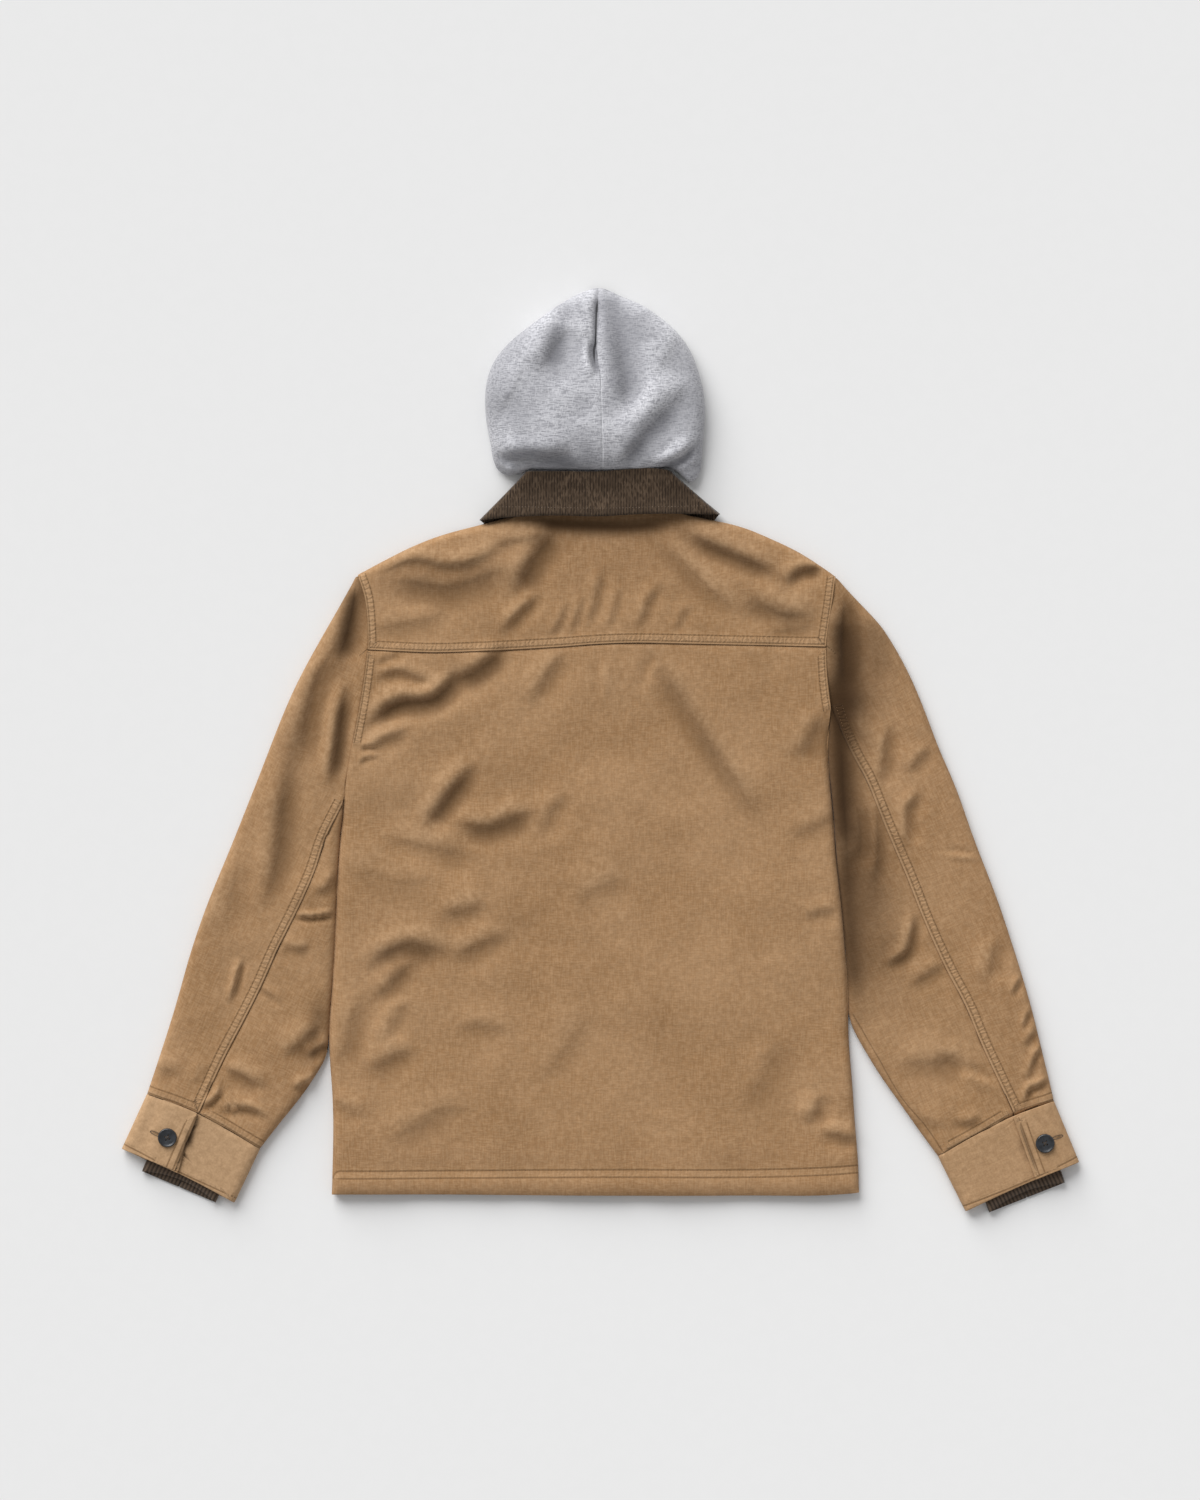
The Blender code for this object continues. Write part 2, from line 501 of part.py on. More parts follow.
def build_front(name, side, material, collection):
    """A front lies on the surface. Its outer skin is below and its inner one faces the back."""
    edges = left_width if side < 0 else right_width
    edge = edge_places(FRONT_WIDTH)
    columns = edge + list(np.linspace(edge[-1], 1, FRONT_COLUMNS + 1))[1:]
    outer, inner = [], []
    for v in front_rows(side):
        outer_row, inner_row = [], []
        for column in columns:
            u = column if side < 0 else 1 - column
            x, y, left, right = body_point(u, v, HEM_LINE, FRONT_TOP, edges)
            distance = (x - left) if side < 0 else (right - x)
            shoulder = along(FRONT_TOP, x) - y
            rounded = side_rounded(y, side)
            above = ramp(abs(x), *NECK_TO_SHOULDER)
            under = edge_turn(distance, rounded, UNDER_ROUND) * edge_turn(shoulder, above, UNDER_ROUND)
            turn = edge_turn(distance, rounded, EDGE_ROUND) * edge_turn(shoulder, above, EDGE_ROUND)
            base = leaf_lift(x, y)
            low, high = lower_pair(base, under, turn, FRONT_WALL, LIP, HOLLOW)
            along_x = edge_shift(distance, rounded, EDGE_ROUND, WALL)
            along_y = edge_shift(shoulder, above, EDGE_ROUND, WALL)
            near, far = edges(y - along_y)
            outer_row.append((x, y, low - SEAM / 2 * (low > SEAM)))
            inner_row.append((min(max(x - side * along_x, near), far), y - along_y, high - SEAM / 2))
        outer.append(outer_row)
        inner.append(inner_row)
    return make_wall(name, outer, inner, material, collection)


# ---------------------------------------------------------------- laid tubes: sleeves, cuffs and hood
def mix(a, b, t):
    return tuple(p + t * (q - p) for p, q in zip(a, b))


def plan_point(station, t, bowed=True):
    """A place on a section of a tube: 0 on its outer line, 1 on its inner one, bowed up the sleeve."""
    (ax, ay), (bx, by), bow = station
    bow = bow * bowed
    width = math.hypot(bx - ax, by - ay)
    lift = 4 * bow * t * (1 - t)
    across = ((by - ay) / width, -(bx - ax) / width)
    if across[1] < 0:
        across = (-across[0], -across[1])
    return ax + t * (bx - ax) + lift * across[0], ay + t * (by - ay) + lift * across[1]


def tube_section(station, samples, top, wall, lip, hollow, reach=EDGE_ROUND, under=UNDER_ROUND, base=0.0,
                 narrow=math.inf):
    """Outer and inner points round a laid tube. A sample is (layer, edge, distance from that edge):
    layer 1 above and -1 below, edge 0 the outer line and 1 the inner one. Where a panel is narrow,
    its inner skin turns in less."""
    (ax, ay), (bx, by), _bow = station
    width = math.hypot(bx - ax, by - ay)
    reach, under = min(reach, WIDEST_TURN * width), min(under, WIDEST_UNDER * width)
    deepest = 0.6 * min(width, narrow)
    outer, inner = [], []
    for layer, edge, distance in samples:
        t = distance / width if edge == 0 else 1 - distance / width
        x, y = plan_point(station, t, layer > 0)
        shift = edge_shift(distance, 1, reach, min(wall, deepest)) / width
        inner_x, inner_y = plan_point(station, t + shift if edge == 0 else t - shift, layer > 0)
        turn = edge_turn(distance, 1, reach)
        if layer > 0:
            high, low = upper_pair(top(x, y, t, edge), turn, wall, lip, hollow)
            outer.append((x, y, high))
            inner.append((inner_x, inner_y, low))
        else:
            low, high = lower_pair(base, edge_turn(distance, 1, under), turn, wall, lip, hollow)
            outer.append((x, y, low))
            inner.append((inner_x, inner_y, high))
    return outer, inner


def edge_samples(edge, width, start, end, count_top, count_under, reach=EDGE_ROUND, under=UNDER_ROUND):
    """Samples from a place above, round one folded edge, to a place below."""
    reach, under = min(reach, WIDEST_TURN * width), min(under, WIDEST_UNDER * width)
    samples = [(1, edge, d) for d in np.linspace(start, reach, count_top + 1)[:-1]]
    samples += [(1, edge, reach * step) for step in reversed(EDGE_STEPS)]
    samples += [(-1, edge, under * step) for step in UNDER_STEPS]
    samples += [(-1, edge, d) for d in np.linspace(under * UNDER_STEPS[-1], end, count_under + 1)[1:]]
    return samples


def sleeve_stations(side):
    """Sections of a sleeve from the shoulder to the cuff seam, on the body's own rows where they meet."""
    armpit = ARMPIT_LEFT if side < 0 else ARMPIT_RIGHT
    rise = SLEEVE_RISE_LEFT if side < 0 else SLEEVE_RISE_RIGHT
    outline = OUTER_LEFT if side < 0 else OUTER_RIGHT
    free = INNER_LEFT if side < 0 else INNER_RIGHT
    hind = HIND_LEFT if side < 0 else HIND_RIGHT
    u = 0 if side < 0 else 1
    beside = [body_point(u, v, YOKE_SEAM, SHOULDER_LINE, whole_width) for v in reversed(YOKE_ROWS[:-1])]
    beside += [body_point(u, v, HEM_LINE, YOKE_SEAM, whole_width) for v in reversed(BACK_ROWS[:-1])]
    inner = [(x + side * SEAM, y) for x, y, _left, _right in beside if y > free[0][0] + 8]
    inner += [(along(free, y), y) for y in np.linspace(free[0][0], free[-1][0], FREE_ROWS)]
    stations = []
    for x, y in inner:
        out_y = along(rise, y)
        out = (along(outline, out_y), out_y)
        bow = CUFF_BOW * ramp(y, free[0][0] - 40, free[-1][0])
        station = (out, (x, y), bow)
        width = math.dist(out, (x, y))
        seam = 1.0
        if y < armpit - 1:
            seam = 0.5
            for _turn in range(12):
                px, py = plan_point(station, seam)
                seam += (along(hind, py) - px) / (x - out[0])
            seam = min(seam, 1 - 2.5 / width)
        stations.append((station, width, seam * width, y < armpit - 1))
    return stations


def fore_seam(width, rows_below):
    """Where the hidden seam below runs, as a distance from the outer line. It slants from the armpit."""
    return max(width - FORE_SEAM * min(1.0, rows_below / FORE_SEAM_ROWS), width / 2)


def sleeve_top(x, y, _share, _edge):
    return cloth_top(x, y)


def build_sleeve(name, side, material_outer, material_under, collection):
    stations = sleeve_stations(side)
    tops = {"wall": WALL, "lip": LIP, "hollow": HOLLOW}
    parts = {"outer": ([], []), "under": ([], [])}
    below = 0
    for station, width, seam, split in stations:
        below += split
        fore = fore_seam(width, below)
        gap = SEAM / 2 if split else 0.0
        samples = edge_samples(0, width, seam - gap, fore - gap, 4, 2)
        outer, inner = tube_section(station, samples, sleeve_top, **tops)
        parts["outer"][0].append(outer)
        parts["outer"][1].append(inner)
        if split:
            start, end = width - seam - SEAM / 2, width - fore - SEAM / 2
            reach = min(EDGE_ROUND, 0.8 * start, 0.95 * end)
            under = min(UNDER_ROUND, 0.8 * end)
            samples = edge_samples(1, width, start, end, 4, 1, reach, under)
            outer, inner = tube_section(station, samples, sleeve_top, reach=reach, under=under,
                                        narrow=min(start, end), **tops)
            parts["under"][0].append(outer)
            parts["under"][1].append(inner)
    make_wall(name + "_outer", *parts["outer"], material_outer, collection)
    make_wall(name + "_under", *parts["under"], material_under, collection)


# ---------------------------------------------------------------- cuffs
def cuff_stations(name):
    side, low_out, low_in, slit_top, slit_low, bow = CUFFS[name]
    (top_out, top_in, top_bow), _width, _seam, _split = sleeve_stations(side)[-1]
    length = math.dist(mix(top_out, top_in, 0.5), mix(low_out, low_in, 0.5))
    rows = []
    for share in CUFF_ROWS:
        share = max(share, 1.2 * SEAM / length)
        out, inn = mix(top_out, low_out, share), mix(top_in, low_in, share)
        station = (out, inn, top_bow + share * (bow - top_bow))
        rows.append((station, math.dist(out, inn), slit_top + share * (slit_low - slit_top)))
    return rows


def build_cuff(name, material, collection):
    """A band round the wrist. Its outer end laps over the other one, and carries the button."""
    outer, inner = [], []
    for station, width, slit in cuff_stations(name):
        slit_at = slit * width
        rest = width - slit_at

        def top(_x, _y, share, edge, slit_at=slit_at, width=width):
            if edge == 0:
                return CUFF_LOFT + LAP_RISE * ramp(share * width, slit_at - LAP_FOOT, slit_at - LAP_LEVEL)
            return CUFF_LOFT

        far = (rest + CUFF_LAP, rest - CUFF_LAP_STEP, rest * 0.55, CUFF_REACH * 1.6)
        near = [slit_at - LAP_FOOT, slit_at - (LAP_FOOT + LAP_LEVEL) / 2, slit_at - LAP_LEVEL,
                slit_at - CUFF_LAP]
        least = CUFF_REACH * 1.1
        near = [max(d, least + CUFF_LEAST_STEP * place) for place, d in enumerate(near)] + [slit_at]
        samples = [(1, 1, d) for d in far]
        samples += [(1, 1, CUFF_REACH * step) for step in reversed(EDGE_STEPS)]
        samples += [(-1, 1, UNDER_ROUND * step) for step in UNDER_STEPS]
        samples += [(-1, 1, width / 2)]
        samples += [(-1, 0, UNDER_ROUND * step) for step in reversed(UNDER_STEPS)]
        samples += [(1, 0, CUFF_REACH * step) for step in EDGE_STEPS]
        samples += [(1, 0, d) for d in near]
        out_row, in_row = tube_section(station, samples, top, CUFF_WALL, LIP, HOLLOW, CUFF_REACH)
        outer.append(out_row)
        inner.append(in_row)
    make_wall("cuff_" + name, outer, inner, material, collection)


def build_rib(name, material, collection):
    """The knitted inner cuff: a flattened tube with ribs raised on its upper side, over a plain inside."""
    low_out, low_in, bow, (way_x, way_y) = RIBS[name]
    width = math.dist(low_out, low_in)
    count = int((width - 2 * RIB_REACH) / (RIB_PITCH / 2))
    below = [RIB_REACH * step for step in (0.3, 1.0)] + [width / 2 - SEAM / 2]
    turned = [RIB_REACH * step for step in (0.0, 0.2, 0.6)]
    outer, inner = [], []
    for up, base in RIB_ROWS:
        out = (low_out[0] + up * way_x, low_out[1] + up * way_y)
        inn = (low_in[0] + up * way_x, low_in[1] + up * way_y)
        samples = [(-1, 1, d) for d in reversed(below)] + [(1, 1, d) for d in turned]
        first = len(samples)
        samples += [(1, 0, d) for d in np.linspace(width - RIB_REACH, RIB_REACH, count + 1)]
        samples += [(1, 0, d) for d in reversed(turned)] + [(-1, 0, d) for d in below]

        def top(_x, _y, _share, _edge):
            return RIB_LOFT

        lip = (base + RIB_LOFT) / 2
        out_row, in_row = tube_section((out, inn, bow), samples, top, RIB_WALL, lip, lip, RIB_REACH,
                                       0.75 * RIB_REACH, base)
        raised = []
        for place, (x, y, z) in enumerate(out_row):
            on_rib = first < place < first + count and (place - first) % 2
            raised.append((x, y, z + RIB_RISE * on_rib))
        outer.append(raised)
        inner.append(in_row)
    make_wall("rib_cuff_" + name, outer, inner, material, collection)


def build_button(name, material, collection, helpers):
    """A four-hole button: a turned disc with a raised rim, bored four times."""
    mesh = bpy.data.meshes.new("button_" + name)
    points = [(r * BUTTON_RADIUS * MM, 0, z * BUTTON_HEIGHT * MM) for r, z in BUTTON_PROFILE]
    mesh.from_pydata(points, [(i, i + 1) for i in range(len(points) - 1)], [])
    button = bpy.data.objects.new("button_" + name, mesh)
    collection.objects.link(button)
    mesh.materials.append(material)
    turned = button.modifiers.new("turned", "SCREW")
    turned.steps = turned.render_steps = 24
    turned.use_merge_vertices = True
    turned.merge_threshold = 0.00001
    turned.use_smooth_shade = True
    x, y = BUTTONS[name]
    seat = CUFF_LOFT + LAP_RISE + SEAM
    button.location = (x * MM, y * MM, seat * MM)
    for number in range(4):
        angle = math.radians(BUTTON_TURN + 90 * number)
        hole_x = x + BUTTON_HOLE_AT * math.cos(angle)
        hole_y = y + BUTTON_HOLE_AT * math.sin(angle)
        shape = bmesh.new()
        bmesh.ops.create_cone(shape, cap_ends=True, segments=8, radius1=BUTTON_HOLE * MM,
                              radius2=BUTTON_HOLE * MM, depth=4 * BUTTON_HEIGHT * MM)
        cutter_mesh = bpy.data.meshes.new("button_hole")
        shape.to_mesh(cutter_mesh)
        shape.free()
        cutter = bpy.data.objects.new(f"button_hole_{name}_{number}", cutter_mesh)
        helpers.objects.link(cutter)
        cutter.location = (hole_x * MM, hole_y * MM, seat * MM)
        cutter.hide_render = True
        cutter.display_type = "WIRE"
        cut = button.modifiers.new(f"hole_{number}", "BOOLEAN")
        cut.operation = "DIFFERENCE"
        cut.object = cutter


# ---------------------------------------------------------------- collar
def collar_lines(table):
    """Sections of half the collar, smoothly between the table's rows."""
    rows = [seam + fold + edge + faces for _name, seam, fold, edge, faces in table]
    steps = np.linspace(0, len(rows) - 1, (len(rows) - 1) * COLLAR_BETWEEN + 1)
    columns = [[(place, row[part]) for place, row in enumerate(rows)] for part in range(11)]
    return [[along(column, step) for column in columns] for step in steps]


def build_collar(material, collection):
    half, gap = COLLAR_WALL / 2, SEAM / 2
    sections = list(reversed(collar_lines(COLLAR_LEFT))) + collar_lines(COLLAR_RIGHT)[1:]
    outer, inner = [], []
    for section in sections:
        seam, fold, edge = (Vector(section[start:start + 3]) for start in (0, 3, 6))
        faces = Vector((section[9], 0, section[10])).normalized()
        away = (seam + edge) / 2 - fold
        away = (away - away.dot(faces) * faces).normalized()
        stand, fall = fold - (half + gap) * faces, fold + (half + gap) * faces
        out_row = [seam - half * faces, seam.lerp(stand, 0.5) - half * faces]
        in_row = [seam + half * faces, seam.lerp(stand, 0.5) + half * faces]
        for angle in FOLD_ANGLES:
            turn = math.radians(angle)
            way = faces * math.sin(turn) - away * math.cos(turn)
            out_row.append(fold + (COLLAR_WALL + gap) * way)
            in_row.append(fold + gap * way)
        for share in FALL_STEPS:
            place = fall.lerp(edge, share)
            out_row.append(place + half * faces)
            in_row.append(place - half * faces)
        outer.append([tuple(p) for p in out_row])
        inner.append([tuple(p) for p in in_row])
    make_wall("collar", outer, inner, material, collection)


# ---------------------------------------------------------------- hood
def build_hood(name, side, material, collection):
    """Half of the hood, from its middle seam over the edge to the face opening below."""
    outer, inner = [], []
    for y, shift, left, right, seam, high, base in HOOD_SECTIONS:
        edge = left if side < 0 else right
        width = abs(seam - edge)
        station = ((edge, y), (seam, y), 0.0)
        lip = base + (high - base) * (HOOD_LIP if high - base > HOOD_NECK else 0.5)
        reach = min(HOOD_REACH, WIDEST_TURN * width)
        under = min(HOOD_UNDER, 0.4 * width)
        samples = [(1, 0, (width - SEAM / 2) * step) for step in HOOD_STEPS]
        samples += [(-1, 0, under * step) for step in HOOD_UNDER_STEPS]
        samples += [(-1, 0, min(HOOD_TURNED, 0.6 * width))]

        def top(x, y, _share, _edge, high=high):
            folds = sum(fold[-1] * bump(x, y, fold[1:3], fold[3:5], fold[5]) for fold in HOOD_FOLDS)
            return high + folds * ramp(high, *HOOD_FOLDS_FROM)

        rows = tube_section(station, samples, top, HOOD_WALL, lip, lip, reach, under, base)
        outer.append(rows[0])
        inner.append([(x, py + shift, z) for x, py, z in rows[1]])
    make_wall(name, outer, inner, material, collection)


# ---------------------------------------------------------------- front zip
def build_zip(material, collection):
    """The closed zip's chain, flush with the fronts' edges, and its slider at the neck."""
    half = ZIP_WIDTH / 2
    outer, inner = [], []
    for y in ZIP_ROWS:
        base = ZIP_BASE + leaf_lift(0, y)
        outer.append([(x, y, base + ZIP_HEIGHT) for x in (-half, half)])
        inner.append([(x, y, base) for x in (-half, half)])
    make_wall("zip_chain", outer, inner, material, collection)
    shape = bmesh.new()
    bmesh.ops.create_cube(shape, size=1.0)
    bmesh.ops.scale(shape, verts=shape.verts, vec=[size * MM for size in SLIDER_SIZE])
    bmesh.ops.translate(shape, verts=shape.verts, vec=[place * MM for place in SLIDER_AT])
    mesh = bpy.data.meshes.new("zip_slider")
    shape.to_mesh(mesh)
    shape.free()
    mesh.materials.append(material)
    slider = bpy.data.objects.new("zip_slider", mesh)
    collection.objects.link(slider)
    bevel = slider.modifiers.new("rounded", "BEVEL")
    bevel.width = SLIDER_ROUND * MM
    bevel.segments = 2


def main():
    for leftover in list(bpy.data.objects):
        bpy.data.objects.remove(leftover)
    jacket = bpy.data.collections.new("hooded_jacket")
    helpers = bpy.data.collections.new("cutters")
    bpy.context.scene.collection.children.link(jacket)
    bpy.context.scene.collection.children.link(helpers)
    canvas = make_material("tan_canvas", TAN, 0.85)
    shade = make_material("tan_canvas_shade", TAN_SHADE, 0.85)
    build_back_panel(canvas, jacket)
    build_yoke(canvas, jacket)
    for name, side in (("left", -1), ("right", 1)):
        build_front("front_" + name, side, canvas, jacket)
        build_sleeve("sleeve_" + name, side, canvas, shade, jacket)
        build_cuff(name, canvas, jacket)
        build_rib(name, make_material("rib_knit_" + name, BROWN, 0.9), jacket)
        build_button(name, make_material("button_" + name, DARK, 0.25), jacket, helpers)
        build_hood("hood_" + name, side, make_material("fleece_" + name, GREY, 0.95), jacket)
    build_collar(make_material("corduroy", BROWN, 0.9), jacket)
    build_zip(make_material("zip_metal", METAL, 0.35, 1.0), jacket)


main()
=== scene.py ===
"""Dresses the hooded jacket: its cloth with folds and seams, its sewing, buttons and finishes, and the stage.

The jacket lies flat on its front with its back up, the hood at +Y and +Z up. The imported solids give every
size; the tables below hold what is drawn on them. Table lengths are in millimetres, in the solids' own frame.
"""

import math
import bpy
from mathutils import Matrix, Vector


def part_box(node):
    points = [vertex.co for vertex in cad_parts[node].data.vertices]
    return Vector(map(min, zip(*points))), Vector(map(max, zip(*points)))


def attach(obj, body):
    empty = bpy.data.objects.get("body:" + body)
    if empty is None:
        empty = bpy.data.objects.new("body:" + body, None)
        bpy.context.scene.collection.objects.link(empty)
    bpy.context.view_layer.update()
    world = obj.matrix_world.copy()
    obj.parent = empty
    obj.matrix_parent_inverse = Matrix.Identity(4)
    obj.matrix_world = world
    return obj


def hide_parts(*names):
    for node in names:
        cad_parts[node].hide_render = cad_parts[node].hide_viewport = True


bl_info = {
    "name": "Hooded work jacket, laid flat",
    "version": (1, 0, 0),
    "blender": (4, 5, 0),
    "location": "3D View > Sidebar > Jacket",
    "description": "Dresses the packed jacket with cloth, sewing, buttons and finishes",
    "category": "Object",
}

from collections import namedtuple
from functools import partial

import bmesh
import bpy
import numpy as np
from mathutils import Matrix, Vector
from mathutils.bvhtree import BVHTree

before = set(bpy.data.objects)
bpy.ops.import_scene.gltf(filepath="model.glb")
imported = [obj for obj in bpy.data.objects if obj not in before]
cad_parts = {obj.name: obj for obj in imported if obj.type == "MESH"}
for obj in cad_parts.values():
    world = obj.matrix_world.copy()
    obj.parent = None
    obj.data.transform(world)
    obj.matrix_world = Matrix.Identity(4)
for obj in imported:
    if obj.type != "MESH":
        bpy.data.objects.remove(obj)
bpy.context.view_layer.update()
MM = 0.001

# The seams, each a line on the upper side. Left and right are as seen from above.
SEAMS = {
    "yoke": ((-244, 105), (-206, 103), (-180, 102), (-152, 102.3), (-98, 104.6), (-44, 107.6), (-17, 109.7),
             (11, 111.3), (38, 112), (65, 111.7), (119, 110.4), (173, 109.3), (238, 108)),
    "armhole left": ((-254, 183), (-246, 158), (-243, 123), (-243.5, 105), (-248, 69), (-253, 39), (-259, 8)),
    "armpit left": ((-259, 8), (-266, -32), (-268, -54)),
    "armhole right": ((247, 182), (243, 153), (238.5, 123), (237, 108), (238, 79), (240.5, 55), (243, 41)),
    "hind left": ((-268, -54), (-287, -92), (-298, -125), (-308, -149), (-319, -172), (-338, -210),
                  (-354, -246), (-371, -280), (-394, -324), (-417, -374), (-421, -382)),
    "hind right": ((244, 47), (252, 23), (265, -5), (280, -33), (293, -65), (301, -85), (322, -134),
                   (341, -182), (362, -228), (383, -268), (402, -313), (434, -381)),
    "underarm right": ((265, -277), (288, -316), (315, -363), (341, -394), (360, -422)),
    "cuff left": ((-476, -360), (-420.5, -381), (-356, -418)),
    "cuff right": ((358, -424), (397, -403), (434, -382), (477, -367.5)),
    "cuff edge left": ((-502, -418), (-440, -449), (-383, -475)),
    "cuff edge right": ((383, -484), (444, -460), (503, -432)),
    "slit left": ((-420.3, -383), (-433, -412), (-445.1, -441)),
    "slit right": ((436.2, -385), (447, -415), (458.3, -446)),
    "side left": ((-268.5, -62), (-271.8, -90), (-275, -130), (-277.3, -170), (-278.6, -210), (-281.2, -250),
                  (-284, -290), (-286.5, -318)),
    "side right": ((242, 20), (239.2, 8), (239, -10), (241, -30), (245, -70), (247, -100), (249.2, -130),
                   (254, -170), (256.9, -210), (260, -250), (261, -278)),
    "head left": ((-243.5, 106), (-248, 102), (-252.5, 98)),
    "head right": ((237.5, 109), (243, 104.5), (248.5, 99)),
    "hem": ((-272, -449.6), (-200, -449.4), (0, -448), (150, -448.2), (230, -446), (270, -443.5)),
    "hood": ((-2, 494), (-2.4, 468), (-3.4, 445), (-3.8, 430), (-3, 415), (-1, 400), (1, 385), (2, 355),
             (2.8, 325), (3.1, 295), (3.1, 270)),
    "collar edge": ((-122, 246), (-80, 246), (0, 244.5), (60, 246), (120, 247.5)),
}

# Seams whose edge faces the light: how far their dark line of painted shade is hidden under it.
LIT_SEAMS = {"side left": 1.2, "armpit left": 1.2, "hind right": 0.45, "slit right": 0.6}

# What is sewn along a seam: the rows' distances from it, on the side that a walk along it has on its left
# (1) or right (-1), how strongly the cloth gathers into rungs between them, and the pieces that carry them.
Sewing = namedtuple("Sewing", "seam side rows rungs carried_by")
SEWING = (
    Sewing("yoke", 1, (2.6, 9.2), 1.0, ("back_yoke",)),
    Sewing("armhole left", 1, (2.2, 8.2), 0.9, ("back_yoke", "back_panel")),
    Sewing("armhole right", -1, (2.2, 8.2), 0.9, ("back_yoke", "back_panel")),
    Sewing("hind left", -1, (3.0, 9.5), 1.0, ("sleeve_left_outer",)),
    Sewing("hind right", 1, (3.0, 9.5), 0.9, ("sleeve_right_outer",)),
    Sewing("cuff left", 1, (1.8, 8.4), 0.45, ("sleeve_left_outer", "sleeve_left_under")),
    Sewing("cuff right", 1, (1.8, 8.6), 0.45, ("sleeve_right_outer", "sleeve_right_under")),
    Sewing("cuff edge left", 1, (5.6,), 0.0, ("cuff_left",)),
    Sewing("cuff edge right", 1, (6.0,), 0.0, ("cuff_right",)),
    Sewing("slit left", -1, (2.6, 9.6), 0.0, ("cuff_left",)),
    Sewing("slit right", 1, (2.4, 8.4), 0.0, ("cuff_right",)),
    Sewing("hem", 1, (0.0, 7.8), 0.35, ("back_panel",)),
    Sewing("collar edge", 1, (8.4,), 0.0, ("collar",)),
)

